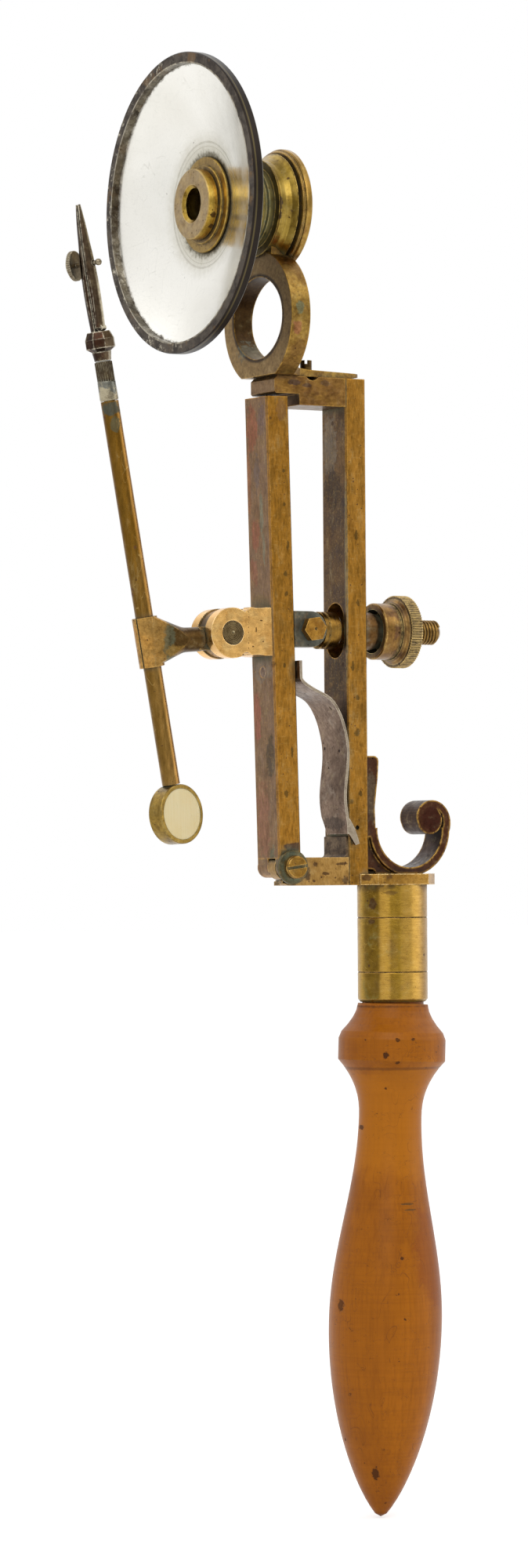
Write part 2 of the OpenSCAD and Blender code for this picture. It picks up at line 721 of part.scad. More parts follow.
// Loose brass collar between the fixed bar and the nut's cup
module thrust_collar() {
    color("sienna") translate([0, 0, focus_z]) turned_x([
        [rear_back_x, 2.05], [rear_back_x, 2.6], [nut_front_x - 0.6, 2.6], [nut_front_x + 0.2, 2.35],
        [nut_front_x + cup_depth - seat_gap, 2.35], [nut_front_x + cup_depth - seat_gap, 2.05]
    ]);
}

// Hinged limb, with a shoulder over two rounded ears
module front_bar() {
    half = limb_w / 2;
    color("darkgoldenrod") limb_frame() difference() {
        union() {
            translate([0, 0, shoulder_h]) linear_extrude(height = limb_len - shoulder_h)
                cut_rectangle(limb_t, limb_w, edge);
            slab_y(limb_w) {
                for (side = [-1, 1]) translate([side * ear_off, 0]) circle(r = ear_r);
                translate([-ear_off - ear_r + 0.08, 0.2]) square([2 * (ear_off + ear_r) - 0.16, shoulder_h]);
                translate([-ear_off, -ear_r]) square([2 * ear_off, 1]);
            }
        }
        box([-limb_t, tongue_y - slot_half, -limb_t], [limb_t, tongue_y + slot_half, shoulder_h - 0.01]);
        y_cylinder(hinge_r + tight_fit, -half - 1, half + 1);
        translate([0, 0, rivet_up]) x_cylinder(rivet_r + tight_fit, -limb_t, limb_t);
    }
}

// Cheese-head screw, slotted, from the washer to the far ear
module hinge_screw() {
    near = limb_w / 2 + washer_hub + washer_t;
    head = 1.25;
    head_r = 1.57;
    color("goldenrod") translate([pin_x, 0, pin_z]) rotate([90, 0, 0]) difference() {
        rotate_extrude() polygon([
            [0, -limb_w / 2 + 0.1], [hinge_r, -limb_w / 2 + 0.1], [hinge_r, near], [head_r, near],
            [head_r, near + 0.8], [head_r - 0.07, near + 0.88], [head_r - 0.07, near + head - 0.1],
            [head_r - 0.17, near + head], [0, near + head]
        ]);
        rotate([0, 0, 8]) driver_slot(head_r, near + head, 0.42, 0.5);
    }
}

// Large washer on a hub that passes through the foot arm's socket
module hinge_washer() {
    hub_r = limb_t / 2 - 0.3;
    top = washer_hub + washer_t;
    color("goldenrod") translate([pin_x, 0, pin_z]) rotate([90, 0, 0]) translate([0, 0, limb_w / 2])
        rotate_extrude() polygon([
            [hinge_r + tight_fit, 0], [hub_r, 0], [hub_r, washer_hub], [washer_r, washer_hub],
            [washer_r, top - 0.08], [washer_r - 0.08, top], [hinge_r + tight_fit, top]
        ]);
}

// Smooth curve through knots: the point at share t of the stretch that starts at knot i
function curve_point(k, i, t) =
    let (a = k[max(i - 1, 0)], b = k[i], c = k[i + 1], d = k[min(i + 2, len(k) - 1)])
    b + (c - a) * t / 2 + (2 * a - 5 * b + 4 * c - d) * t * t / 2 + (3 * b - a - 3 * c + d) * pow(t, 3) / 2;
// Step to the side of a line, square to it, at point i of its n + 1
function side_step(line, i, n) =
    let (d = line[min(i + 1, n)] - line[max(i - 1, 0)])
    [-d[1], d[0]] / norm(d) * spring_t / 2;

// Leaf spring: riveted tab, S-bend over to the fixed bar, a low belly, and a prong beside the bar
module leaf_spring() {
    bend = spring_bend_z;
    low = spring_low_z;
    knots = [
        [tab_x - 2.4 * tan(limb_lean), bend + 2.4], [tab_x, bend], [tab_x + 1.75, bend - 1.35],
        [tab_x + 4.6, bend - 2.75], [spring_x - 1.15, bend - 5], [spring_x - 0.22, bend - 8],
        [spring_x, bend - 10.8], [spring_x - 0.5, low + 5.2], [spring_x - 0.1, low + 1.6], [spring_x, low]
    ];
    bends = [for (i = [1 : len(knots) - 2], k = [0 : 4]) curve_point(knots, i, k / 5)];
    line = concat([knots[0]], bends, [[spring_x, low]]);
    last = len(line) - 1;
    far_y = spring_near_y + spring_w;
    color("darkslategray") difference() {
        union() {
            translate([0, spring_near_y + spring_w / 2, 0]) slab_y(spring_w) polygon(concat(
                [for (i = [0 : last]) line[i] + side_step(line, i, last)],
                [for (i = [last : -1 : 0]) line[i] - side_step(line, i, last)]
            ));
            translate([0, spring_near_y + 0.22, 0]) slab_y(0.44) polygon([
                [spring_x - 0.3, low + 2.4], [spring_x - 0.2, low + 0.4], [spring_x + 1.1, low - 1.5],
                [spring_x + 1.7, low - 1.3], [spring_x + 1, low + 0.7], [spring_x + 0.2, low + 2]
            ]);
        }
        limb_frame() translate([0, 0, rivet_up]) x_cylinder(rivet_r + 2 * tight_fit, 0, 4);
        rotate([90, 0, 90]) linear_extrude(height = 60, center = true) polygon([
            [far_y + 0.1, low + 2.6], [far_y - 1.1, low - 0.1], [far_y + 0.1, low - 0.1]
        ]);
    }
}

module spring_rivet() {
    color("slategray") limb_frame() translate([0, 0, rivet_up]) {
        x_cylinder(rivet_r, -limb_t / 2, limb_t / 2 + spring_t + 0.03);
        x_cylinder(0.92, limb_t / 2 + spring_t + 0.03, limb_t / 2 + spring_t + 0.35);
    }
}

// Plate with a round end on the limb's back, and the bolt's bore
module screw_lug() {
    far_y = lug_near_y + lug_t;
    color("gray") difference() {
        intersection() {
            union() {
                translate([bolt_x, 0, focus_z]) y_cylinder(lug_h / 2, lug_near_y, far_y);
                box([bolt_x - 4, lug_near_y, focus_z - lug_h / 2], [bolt_x, far_y, focus_z + lug_h / 2]);
            }
            limb_frame() box([limb_t / 2 + 0.01, -9, 0], [9, 9, 60]);
        }
        translate([bolt_x, 0, focus_z]) y_cylinder(bolt_r + tight_fit, -9, 9);
    }
}

// Hexagonal head with a centre dot, and a plain shank through lug and screw head
module lug_bolt() {
    color("goldenrod") translate([bolt_x, 0, focus_z]) difference() {
        union() {
            y_cylinder(bolt_r, lug_near_y - 0.2, 2.3);
            translate([0, lug_near_y - 0.2, 0]) rotate([90, 0, 0]) rotate([0, 0, 8])
                cylinder(r = 1.72, h = 1.1, $fn = 6);
        }
        translate([0, lug_near_y - 1.3, 0]) y_cylinder(0.22, -0.2, 0.2);
    }
}

// Polished fork: two round cheeks, notched where they meet the shank
module compass_fork() {
    face_x = limb_face_x(fork_pin_z);
    slot_x = fork_pin_x + cheek_r - 0.05;
    notch_x = fork_pin_x + 1.9;
    color("gold") difference() {
        union() {
            translate([fork_pin_x, 0, fork_pin_z]) y_cylinder(cheek_r, -fork_w / 2, fork_w / 2);
            intersection() {
                box([notch_x, -fork_w / 2, fork_pin_z - shank_low],
                    [face_x + 2, fork_w / 2, fork_pin_z + shank_top]);
                limb_frame() box([-20, -9, 0], [-limb_t / 2 - 0.01, 9, 60]);
            }
        }
        translate([notch_x, 0, fork_pin_z + shank_top + 0.4]) y_cylinder(0.9, -4, 4);
        translate([notch_x + 0.2, 0, fork_pin_z - shank_low - 0.4]) y_cylinder(0.8, -4, 4);
        translate([notch_x + 2, 0, fork_pin_z + shank_top + 6.9]) y_cylinder(7, -4, 4);
        translate([notch_x + 2, 0, fork_pin_z - shank_low - 6.9]) y_cylinder(7, -4, 4);
        box([fork_pin_x - 5, -joint_half - seat_gap, 0], [slot_x, joint_half + seat_gap, 90]);
        translate([fork_pin_x, 0, fork_pin_z]) {
            y_cylinder(pin_r + tight_fit, -4, 4);
            for (side = [-1, 1])
                translate([0, side * fork_w / 2, 0]) y_cylinder(pin_r + 0.14, -0.25, 0.25);
        }
    }
}

module compass_pin() {
    end = fork_w / 2 - 0.03;
    color("dimgray") translate([fork_pin_x, 0, fork_pin_z]) difference() {
        y_cylinder(pin_r, -end, end);
        for (side = [-1, 1]) translate([0, side * end, 0]) y_cylinder(0.12, -0.1, 0.1);
    }
}

// Half-lapped head on the lug's bolt and the long shank through the fixed bar
module focus_screw() {
    head_x = bolt_x + lug_h / 2 + 0.25;
    head_end = rear_front_x - 0.3;
    back_y = 2.45;
    tongue_y = lug_near_y + lug_t + seat_gap;
    color("goldenrod") difference() {
        union() {
            translate([0, 0, focus_z]) turned_x([
                [head_x, 0], [head_x, head_d / 2], [head_x + 0.5, head_d / 2],
                [head_x + 0.6, head_d / 2 - 0.12], [head_x + 0.75, head_d / 2 - 0.12],
                [head_x + 0.85, head_d / 2], [head_end - 0.2, head_d / 2],
                [head_end, head_d / 2 - 0.2], [head_end, screw_r], [screw_end_x - 0.5, screw_r],
                [screw_end_x, screw_r - 0.5], [screw_end_x, 0]
            ]);
            intersection() {
                union() {
                    translate([bolt_x, 0, focus_z]) y_cylinder(lug_reach - 0.3, tongue_y, back_y);
                    box([bolt_x, tongue_y, focus_z - lug_reach + 0.3],
                        [head_x + 0.1, back_y, focus_z + lug_reach - 0.3]);
                }
                box([bolt_x - 5, tongue_y, focus_z - 5], [head_x + 0.1, back_y, focus_z + 5]);
            }
        }
        translate([bolt_x, 0, focus_z]) y_cylinder(bolt_r + run_fit, -4, 4);
    }
}

// Sleeve with a cup in front, steps and the knurled flange
module focus_nut() {
    r = nut_d / 2;
    cup_r = 3;
    color("peru") translate([0, 0, focus_z]) {
        turned_x([
            [nut_front_x, cup_r], [nut_front_x, r - 0.15], [nut_front_x + 0.15, r], [flange_x - 1.1, r],
            [flange_x - 1, r - 0.15], [flange_x - 0.8, r - 0.15], [flange_x - 0.7, r + 0.1],
            [flange_x - 0.3, r + 0.25], [flange_x, r + 0.6], [flange_x + 0.02, nut_bore_r],
            [nut_front_x + cup_depth, nut_bore_r], [nut_front_x + cup_depth, cup_r]
        ]);
        translate([flange_x, 0, 0]) rotate([0, 90, 0]) difference() {
            linear_extrude(height = knurl_w) knurled_circle(knurl_d / 2, knurl_count, 0.16);
            translate([0, 0, -1]) cylinder(r = nut_bore_r, h = knurl_w + 2);
        }
    }
}

// Radius of the specimen arm at share t of the way from the joint to the sleeve: a waist, then a flare
function waist_r(t) = 1.63 + 1.6 * (t - 0.345 + sqrt(pow(t - 0.345, 2) + 0.003));

// Middle leaf of the compass joint, the waisted arm and the split sleeve in one piece
module specimen_arm() {
    neck_x = fork_pin_x - cheek_r - clear_gap;
    neck_len = neck_x - sleeve_x;
    steps = 16;
    color("sienna") difference() {
        union() {
            translate([fork_pin_x, 0, fork_pin_z]) y_cylinder(cheek_r - 0.2, -joint_half, joint_half);
            box([neck_x - 0.5, -joint_half, fork_pin_z - 2.3],
                [fork_pin_x - 2, joint_half, fork_pin_z + 0.8]);
            intersection() {
                translate([neck_x, 0, fork_pin_z - 0.8]) rotate([0, -3.6, 0]) turned_x(concat(
                    [for (i = [0 : steps]) [-neck_len * i / steps, waist_r(i / steps)]],
                    [[-neck_len, 0], [0, 0]]
                ));
                box([sleeve_x - 1, -sleeve_r, 0], [neck_x, sleeve_r, 90]);
                rod_frame() box([-9, -9, -sleeve_len / 2], [99, 9, sleeve_len / 2]);
            }
            rod_frame() translate([0, 0, -sleeve_len / 2]) cylinder(r = sleeve_r, h = sleeve_len);
        }
        rod_frame() {
            translate([0, 0, -sleeve_len]) cylinder(r = rod_d / 2 + run_fit, h = 2 * sleeve_len);
            rotate([0, 0, 200]) box([0, -0.12, -sleeve_len], [4, 0.12, sleeve_len]);
        }
        translate([fork_pin_x, 0, fork_pin_z]) y_cylinder(pin_r + run_fit, -4, 4);
    }
}

module specimen_rod() {
    color("darkgoldenrod") rod_frame() difference() {
        union() {
            translate([0, 0, -rod_down]) cylinder(d = rod_d, h = rod_down + rod_up);
            translate([0, 0, rod_up - 0.1]) cylinder(r = tenon_r, h = spigot_w - rod_up + 0.1);
        }
        translate([0, 0, -rod_down - 1]) cylinder(r = pivot_r + tight_fit, h = 4);
    }
}

// Pin driven into the rod, on which the cup turns
module disc_pivot() {
    color("dimgray") rod_frame() translate([0, 0, -rod_down - 1.7]) cylinder(r = pivot_r, h = 4.6);
}

module disc_cup() {
    r = disc_d / 2;
    recess = disc_t / 2 - 0.6;
    color("rosybrown") rod_frame() translate([0, 0, cup_w]) rotate([0, 0, disc_turn]) difference() {
        rotate([90, 0, 0]) rotate_extrude() polygon([
            [0, -disc_t / 2 + recess], [r - disc_rim, -disc_t / 2 + recess], [r - disc_rim, -disc_t / 2],
            [r - 0.1, -disc_t / 2], [r, -disc_t / 2 + 0.1], [r, disc_t / 2 - 0.1], [r - 0.1, disc_t / 2],
            [r - disc_rim, disc_t / 2], [r - disc_rim, disc_t / 2 - recess], [0, disc_t / 2 - recess]
        ]);
        translate([0, 0, r - 1.9]) cylinder(r = pivot_r + run_fit, h = 4);
    }
}

// One face of the cup: side -1 is the near one at rest
module disc_face(side) {
    recess = disc_t / 2 - 0.6;
    rod_frame() translate([0, 0, cup_w]) rotate([0, 0, disc_turn])
        translate([0, side * (disc_t / 2 - recess / 2 - 0.02), 0])
            y_cylinder(disc_d / 2 - disc_rim - 0.02, -recess / 2 + 0.03, recess / 2 - 0.03);
}

module ivory_disc() {
    color("ivory") disc_face(-1);
}

module ebony_disc() {
    color("black") disc_face(1);
}

// Socket that turns on the rod's end: polished below, fluted above
module forceps_socket() {
    flutes = 22;
    low = 1.26;
    high = 1.03;
    color("khaki") forceps_frame() translate([0, 0, rod_up + 0.05]) difference() {
        union() {
            rotate_extrude() polygon([
                [0, 0], [low - 0.1, 0], [low, 0.15], [low - 0.04, 2.5], [high + 0.13, 2.6],
                [high, socket_len], [0, socket_len]
            ]);
            translate([0, 0, 2.6]) linear_extrude(height = 2.6) knurled_circle(high + 0.16, flutes, 0.1);
        }
        translate([0, 0, -1]) cylinder(r = tenon_r + run_fit, h = spigot_w - rod_up + 1.2);
    }
}

// Radius of the closed jaws at share t of their length
function jaws_r(t) = jaw_half + 0.15 * sin(180 * min(t / 0.7, 1)) - 0.68 * pow(t, 3.2);

// A jaw: half of a round taper, flattened at its sides, with the tip opened a little
module jaw(split) {
    steps = 14;
    intersection() {
        rotate_extrude() polygon(concat(
            [[0, 0]], [for (i = [0 : steps]) [jaws_r(i / steps), jaw_len * i / steps]], [[0, jaw_len]]
        ));
        slab_y(jaw_w + 1) polygon([
            [split, 0], [2, 0], [2, jaw_len], [0.16, jaw_len], [split, jaw_len - 1.8]
        ]);
        rotate([90, 0, 90]) linear_extrude(height = 9, center = true) polygon([
            [-jaw_w / 2, 0], [jaw_w / 2, 0], [jaw_w / 2, jaw_len * 0.5], [0.4, jaw_len], [-0.4, jaw_len],
            [-jaw_w / 2, jaw_len * 0.5]
        ]);
    }
}

// Faceted knop with its neck, and the fixed jaw
module forceps_body() {
    color("dimgray") forceps_frame() difference() {
        union() {
            translate([0, 0, knop_w]) cylinder(r1 = 1.12, r2 = 1.3, h = 1.2);
            translate([0, 0, knop_w + 1.2]) cylinder(d1 = 2.6, d2 = knop_d, h = 0.5, $fn = 8);
            translate([0, 0, knop_w + 1.7]) cylinder(d = knop_d, h = 1.2, $fn = 8);
            translate([0, 0, knop_w + 2.9]) cylinder(d1 = knop_d, d2 = 3.2, h = 1, $fn = 8);
            translate([0, 0, jaw_w0 - 0.01]) mirror([1, 0, 0]) jaw(0.02);
        }
        translate([0, 0, button_w]) x_cylinder(button_pin_r + 2 * run_fit, -3, 0);
    }
}

// Sprung jaw, round at its root where it bends, on the button's pin
module forceps_jaw() {
    root_x = jaw_split + jaw_root_r;
    color("slategray") forceps_frame() difference() {
        union() {
            translate([0, 0, jaw_w0 + 0.03]) intersection() {
                jaw(jaw_split);
                box([0, -5, jaw_root_r], [5, 5, jaw_len]);
            }
            translate([root_x, 0, jaw_w0 + 0.03 + jaw_root_r])
                y_cylinder(jaw_root_r, -jaw_w * 0.3, jaw_w * 0.3);
        }
        translate([0, 0, button_w]) x_cylinder(button_pin_r + 0.12, -1, 3);
    }
}

// Knurled button whose pin pushes the sprung jaw away, riveted over at its far end
module forceps_button() {
    head_x = -jaws_t / 2 - button_gap;
    far_x = jaws_t / 2;
    color("darkkhaki") forceps_frame() translate([0, 0, button_w]) {
        x_cylinder(button_pin_r, head_x - 0.5, far_x + 0.3);
        translate([far_x + 0.5, 0, 0]) sphere(r = 0.46);
        translate([head_x, 0, 0]) rotate([0, -90, 0]) {
            linear_extrude(height = 0.55) knurled_circle(button_d / 2, 40, 0.12);
            translate([0, 0, 0.54]) cylinder(r1 = button_d / 2 - 0.3, r2 = button_d / 2 - 0.6, h = 0.35);
        }
    }
}

handle();
ferrule();
handle_tang();
base_plate();
scroll();
rear_bar();
top_arm();
foot_arm();
spring_seat();
lens_carrier();
carrier_screw();
lens_barrel();
barrel_cap();
lens();
lens_stop();
objective_nose();
reflector();
reflector_flange();
thrust_collar();
front_bar();
hinge_screw();
hinge_washer();
leaf_spring();
spring_rivet();
screw_lug();
lug_bolt();
compass_fork();
compass_pin();
focus_screw();
focus_nut();
specimen_arm();
specimen_rod();
disc_pivot();
disc_cup();
ivory_disc();
ebony_disc();
forceps_socket();
forceps_body();
forceps_jaw();
forceps_button();
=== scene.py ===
import math

import bmesh
import bpy
from bpy.props import FloatProperty, FloatVectorProperty, IntProperty, PointerProperty
from mathutils import Matrix, Vector


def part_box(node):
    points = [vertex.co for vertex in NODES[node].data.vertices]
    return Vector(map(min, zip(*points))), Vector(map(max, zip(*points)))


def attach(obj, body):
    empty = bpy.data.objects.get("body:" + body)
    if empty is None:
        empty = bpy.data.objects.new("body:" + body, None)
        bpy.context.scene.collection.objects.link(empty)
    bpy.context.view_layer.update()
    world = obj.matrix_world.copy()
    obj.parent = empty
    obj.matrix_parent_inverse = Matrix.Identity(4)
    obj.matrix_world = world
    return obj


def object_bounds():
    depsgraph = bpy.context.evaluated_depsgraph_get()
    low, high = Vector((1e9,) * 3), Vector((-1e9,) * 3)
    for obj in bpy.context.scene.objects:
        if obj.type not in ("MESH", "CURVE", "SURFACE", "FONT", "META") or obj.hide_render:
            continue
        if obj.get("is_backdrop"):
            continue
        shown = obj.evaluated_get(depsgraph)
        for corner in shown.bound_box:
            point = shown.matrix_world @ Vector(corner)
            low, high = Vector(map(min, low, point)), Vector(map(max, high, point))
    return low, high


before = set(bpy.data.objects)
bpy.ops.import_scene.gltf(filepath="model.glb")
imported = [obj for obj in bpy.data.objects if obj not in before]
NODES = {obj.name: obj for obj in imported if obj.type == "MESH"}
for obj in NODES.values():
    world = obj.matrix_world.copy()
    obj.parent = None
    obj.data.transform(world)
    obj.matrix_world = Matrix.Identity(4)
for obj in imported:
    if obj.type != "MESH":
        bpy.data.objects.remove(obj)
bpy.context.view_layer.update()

bl_info = {
    "name": "Compass microscope",
    "version": (1, 0, 0),
    "blender": (4, 5, 0),
    "location": "3D View > Sidebar > Microscope",
    "description": "Finishes and fine details of a hand-held compass microscope on its CAD frame",
    "category": "Object",
}

MM = 0.001


def shade(code):
    """Linear colour of a hex code"""
    parts = [int(code[i:i + 2], 16) / 255 for i in (0, 2, 4)]
    return tuple(p / 12.92 if p <= 0.04045 else ((p + 0.055) / 1.055) ** 2.4 for p in parts)


def tone(value):
    """Linear colour of a hex code, or of a colour setting"""
    return shade(value) if isinstance(value, str) else tuple(value)


def extent(name):
    """Low and high corner of the box round a CAD node, in millimetres"""
    return [Vector(corner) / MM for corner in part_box(name)]


def middle(name):
    """Middle of the box round a CAD node, in millimetres"""
    low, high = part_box(name)
    return Vector([(low[k] + high[k]) / 2 / MM for k in range(3)])


def new_object(name, data):
    """A scene object that holds the data"""
    made = bpy.data.objects.new(name, data)
    bpy.context.scene.collection.objects.link(made)
    return made


# Heights of the lens axis and of the focusing screw, and half the depth of a stain on a flat face, in mm
AXIS_Z = middle("lens_barrel").z
FOCUS_Z = middle("focus_nut").z
STAIN_DEPTH = 0.6
# The floor: half its side and its gap under the object in metres, its colour, and its glow to the camera
FLOOR_REACH = 6.0
FLOOR_GAP = 0.0002
FLOOR_GREY = (0.82, 0.82, 0.82, 1)
FLOOR_GLOW = 0.45


def colour(name, description, code):
    """A colour property with its default"""
    return FloatVectorProperty(
        name=name, description=description, subtype="COLOR", size=3, min=0, max=1, default=shade(code)
    )


def distance(name, description, value, **limits):
    """A length property with its default"""
    return FloatProperty(
        name=name, description=description, unit="LENGTH", subtype="DISTANCE", default=value, **limits
    )


def angle(name, description, degrees):
    """An angle property with its default in degrees"""
    value = math.radians(degrees)
    return FloatProperty(name=name, description=description, unit="ROTATION", default=value)


def amount(name, description, value, **more):
    """A property that does not go below nought, with its default"""
    return FloatProperty(name=name, description=description, default=value, min=0, **more)


class MicroscopeFinish(bpy.types.PropertyGroup):
    """Colours of the finishes"""
    wood: colour("Fruitwood", "Colour of the handle's wood", "A05C08")
    wood_dark: colour("Wood shade", "Colour of the wood's darker growth", "7E430A")
    wood_nick: colour("Nicks", "Colour of nicks and knots in the wood", "3A1D08")
    brass: colour("Bright brass", "Colour of rubbed brass", "D9A85C")
    ferrule: colour("Ferrule brass", "Colour of the ferrule's brass", "B08A30")
    ochre: colour("Ochre skin", "Colour of old lacquer on the bars' near faces", "A07028")
    # The front faces' purple-brown: partly skin, partly painted shade
    purple_skin_and_shade: colour("Purple skin", "Colour of the skin on the bars' front faces", "7C624E")
    brown: colour("Brown skin", "Colour of the dark brown skin on brass", "4A3424")
    verdigris: colour("Verdigris", "Colour of the green in joints and grooves", "6E7258")
    steel: colour("Steel", "Colour of old steel", "6A5D52")
    rust: colour("Rust", "Colour of rust spots", "3E2418")
    silver: colour("Silver", "Colour of the reflector's silvered face", "F1EFE8")
    ivory: colour("Ivory", "Colour of the pale disc", "D6C698")
    ebony: colour("Ebony", "Colour of the dark disc", "1C1613")


class MicroscopeThread(bpy.types.PropertyGroup):
    """The cut thread on the focusing screw"""
    pitch: distance("Pitch", "Advance of the thread in one turn", 0.48 * MM, min=0.2 * MM)
    crest: distance("Crest radius", "Radius over the thread's crest", 1.71 * MM)
    root: distance("Root radius", "Radius at the thread's root", 1.5 * MM)
    length: distance("Threaded length", "Length of the cut thread from the screw's end", 7.0 * MM)
    steps: IntProperty(name="Steps", description="Steps in one turn of the thread", default=40, min=12)


class MicroscopeStage(bpy.types.PropertyGroup):
    """Camera and light"""
    azimuth: angle("Azimuth", "Turn of the view from the front", 30.5)
    pitch: angle("Pitch", "Upward tilt of the camera", 0.97)
    roll: angle("Roll", "Roll of the camera", 0.4)
    lens: amount("Lens", "Focal length in millimetres on a 36 mm long side", 117)
    eye: FloatVectorProperty(
        name="Camera place", description="Where the camera stands", size=3, unit="LENGTH",
        subtype="TRANSLATION", default=(-0.36991, -0.59355, 0.01010)
    )
    sky: amount("Room light", "Strength of the even room light", 0.75)
    room: amount("Room behind the camera", "Level of the room that metal mirrors there", 0.5, max=1)
    ceiling: amount("Ceiling panel", "Level of the panel overhead that metal mirrors", 1.5)
    key: amount("Key lamp", "Power of the large lamp", 4.5, unit="POWER")
    fill: amount("Fill lamp", "Power of the second lamp", 2.5, unit="POWER")


class Sheet:
    """A node tree with short ways to add and join nodes"""

    def __init__(self, tree):
        self.tree = tree

    def add(self, kind, inputs=None, **settings):
        """Adds a node, sets its properties, and sets or links its inputs"""
        made = self.tree.nodes.new(kind)
        for key, value in settings.items():
            setattr(made, key, value)
        for key, value in (inputs or {}).items():
            self.feed(value, made.inputs[key])
        return made

    def feed(self, value, socket):
        """Sets or links one input"""
        if isinstance(value, bpy.types.NodeSocket):
            self.tree.links.new(value, socket)
        else:
            socket.default_value = (*value, 1.0) if socket.type == "RGBA" and len(value) == 3 else value

    def math(self, operation, a, b=0.5, clamp=False):
        """Result of one Math node"""
        return self.add("ShaderNodeMath", {0: a, 1: b}, operation=operation, use_clamp=clamp).outputs[0]

    def times(self, a, b, clamp=False):
        """Product of two numbers"""
        return self.math("MULTIPLY", a, b, clamp)

    def minus(self, a, b):
        """Difference of two numbers"""
        return self.math("SUBTRACT", a, b)

    def gap(self, a, b):
        """Distance between two numbers"""
        return self.math("ABSOLUTE", self.minus(a, b))

    def vector(self, operation, a, b=(0, 0, 0)):
        """Vector from one Vector Math node"""
        return self.add("ShaderNodeVectorMath", {0: a, 1: b}, operation=operation).outputs[0]

    def length(self, vector):
        """Length of a vector"""
        return self.add("ShaderNodeVectorMath", {0: vector}, operation="LENGTH").outputs["Value"]

    def dot(self, a, b):
        """Dot product of two vectors"""
        return self.add("ShaderNodeVectorMath", {0: a, 1: b}, operation="DOT_PRODUCT").outputs["Value"]

    def part(self, vector, axis):
        """One coordinate of a vector: 0 for x, 1 for y, 2 for z"""
        return self.add("ShaderNodeSeparateXYZ", {0: vector}).outputs[axis]

    def noise(self, vector, scale, detail=2.0, rough=0.5, distortion=0.0):
        """Value of a noise texture"""
        inputs = {"Vector": vector, "Scale": scale, "Detail": detail, "Roughness": rough}
        inputs["Distortion"] = distortion
        return self.add("ShaderNodeTexNoise", inputs).outputs["Fac"]

    def ramp(self, value, low, high, to_low=0.0, to_high=1.0):
        """Smooth step of a value"""
        inputs = {"Value": value, "From Min": low, "From Max": high, "To Min": to_low, "To Max": to_high}
        return self.add("ShaderNodeMapRange", inputs, interpolation_type="SMOOTHSTEP").outputs["Result"]

    def mix(self, factor, a, b, blend="MIX"):
        """Colour mix of a and b"""
        made = self.add("ShaderNodeMix", data_type="RGBA", blend_type=blend)
        for index, value in ((0, factor), (6, a), (7, b)):
            self.feed(value, made.inputs[index])
        return made.outputs[2]

    def between(self, factor, a, b):
        """Number between a and b"""
        made = self.add("ShaderNodeMix", data_type="FLOAT")
        for index, value in ((0, factor), (2, a), (3, b)):
            self.feed(value, made.inputs[index])
        return made.outputs[0]

    def stretch(self, vector, scale=(1, 1, 1), turn=(0, 0, 0), place=(0, 0, 0)):
        """A mapped vector"""
        inputs = {"Vector": vector, "Location": place, "Rotation": turn, "Scale": scale}
        return self.add("ShaderNodeMapping", inputs).outputs[0]

    def group(self, name, **inputs):
        """The Mask of a shared group with its values"""
        return self.add("ShaderNodeGroup", inputs, node_tree=GROUPS[name]).outputs["Mask"]


GROUPS = {}


def new_group(name, **sockets):
    """An empty shader group with a Mask output: floats are numbers, the rest are vectors.

    Returns its sheet, its inputs, and a way to set the Mask.
    """
    tree = bpy.data.node_groups.new(name, "ShaderNodeTree")
    for socket, value in sockets.items():
        kind = "NodeSocketFloat" if isinstance(value, float) else "NodeSocketVector"
        made = tree.interface.new_socket(name=socket, in_out="INPUT", socket_type=kind)
        if value is not None:
            made.default_value = value
    tree.interface.new_socket(name="Mask", in_out="OUTPUT", socket_type="NodeSocketFloat")
    GROUPS[name] = tree
    sheet = Sheet(tree)
    inputs = sheet.add("NodeGroupInput").outputs
    output = sheet.add("NodeGroupOutput")

    def put(value):
        sheet.feed(value, output.inputs["Mask"])
    return sheet, inputs, put


def group_patches():
    """Cloudy patches with a soft or sharp edge"""
    s, i, put = new_group("patches", Vector=None, Scale=0.3, Detail=4.0, From=0.4, To=0.6)
    put(s.ramp(s.noise(i["Vector"], i["Scale"], i["Detail"], 0.62, 0.3), i["From"], i["To"]))


def group_pits():
    """Round ragged spots of mixed sizes"""
    s, i, put = new_group("pits", Vector=None, Scale=1.0, Size=0.2, Cover=0.5)
    wobble = s.add("ShaderNodeTexNoise", {"Vector": i["Vector"], "Scale": 3.0, "Detail": 2.0})
    moved = s.vector("MULTIPLY", wobble.outputs["Color"], (0.35, 0.35, 0.35))
    moved = s.vector("ADD", i["Vector"], moved)
    cells = s.add("ShaderNodeTexVoronoi", {"Vector": moved, "Scale": i["Scale"], "Randomness": 1.0})
    picked = s.add("ShaderNodeSeparateColor", {0: cells.outputs["Color"]})
    radius = s.times(picked.outputs[0], i["Size"])
    spot = s.ramp(cells.outputs["Distance"], radius, s.times(radius, 0.55))
    put(s.times(spot, s.math("LESS_THAN", picked.outputs[1], i["Cover"])))


def group_worn_edges():
    """Rubbed outer edges, broken up, which also carry painted highlights"""
    s, i, put = new_group("worn and glinting edges", Vector=None, Radius=0.0003, Gain=6.0)
    rounded = s.add("ShaderNodeBevel", {"Radius": i["Radius"]}, samples=4).outputs[0]
    plain = s.add("ShaderNodeNewGeometry").outputs["Normal"]
    dot = s.dot(rounded, plain)
    bent = s.times(s.minus(1.0, dot), i["Gain"], True)
    broken = s.ramp(s.noise(i["Vector"], 1.7, 5.0, 0.6), 0.3, 0.6)
    put(s.times(bent, broken, True))


def group_crevices():
    """Dirt where surfaces meet, which also darkens the crevices as painted shade"""
    s, i, put = new_group("crevices", Vector=None, Distance=0.0012, Gain=1.6)
    # An occlusion mask marks where shade falls, so a dark tint on it is partly painted shade
    shut = s.add("ShaderNodeAmbientOcclusion", {"Distance": i["Distance"]}, samples=6).outputs["AO"]
    dirt_and_shade = s.times(s.minus(1.0, shut), i["Gain"], True)
    broken = s.ramp(s.noise(i["Vector"], 1.1, 4.0, 0.6), 0.22, 0.58)
    put(s.times(dirt_and_shade, broken, True))


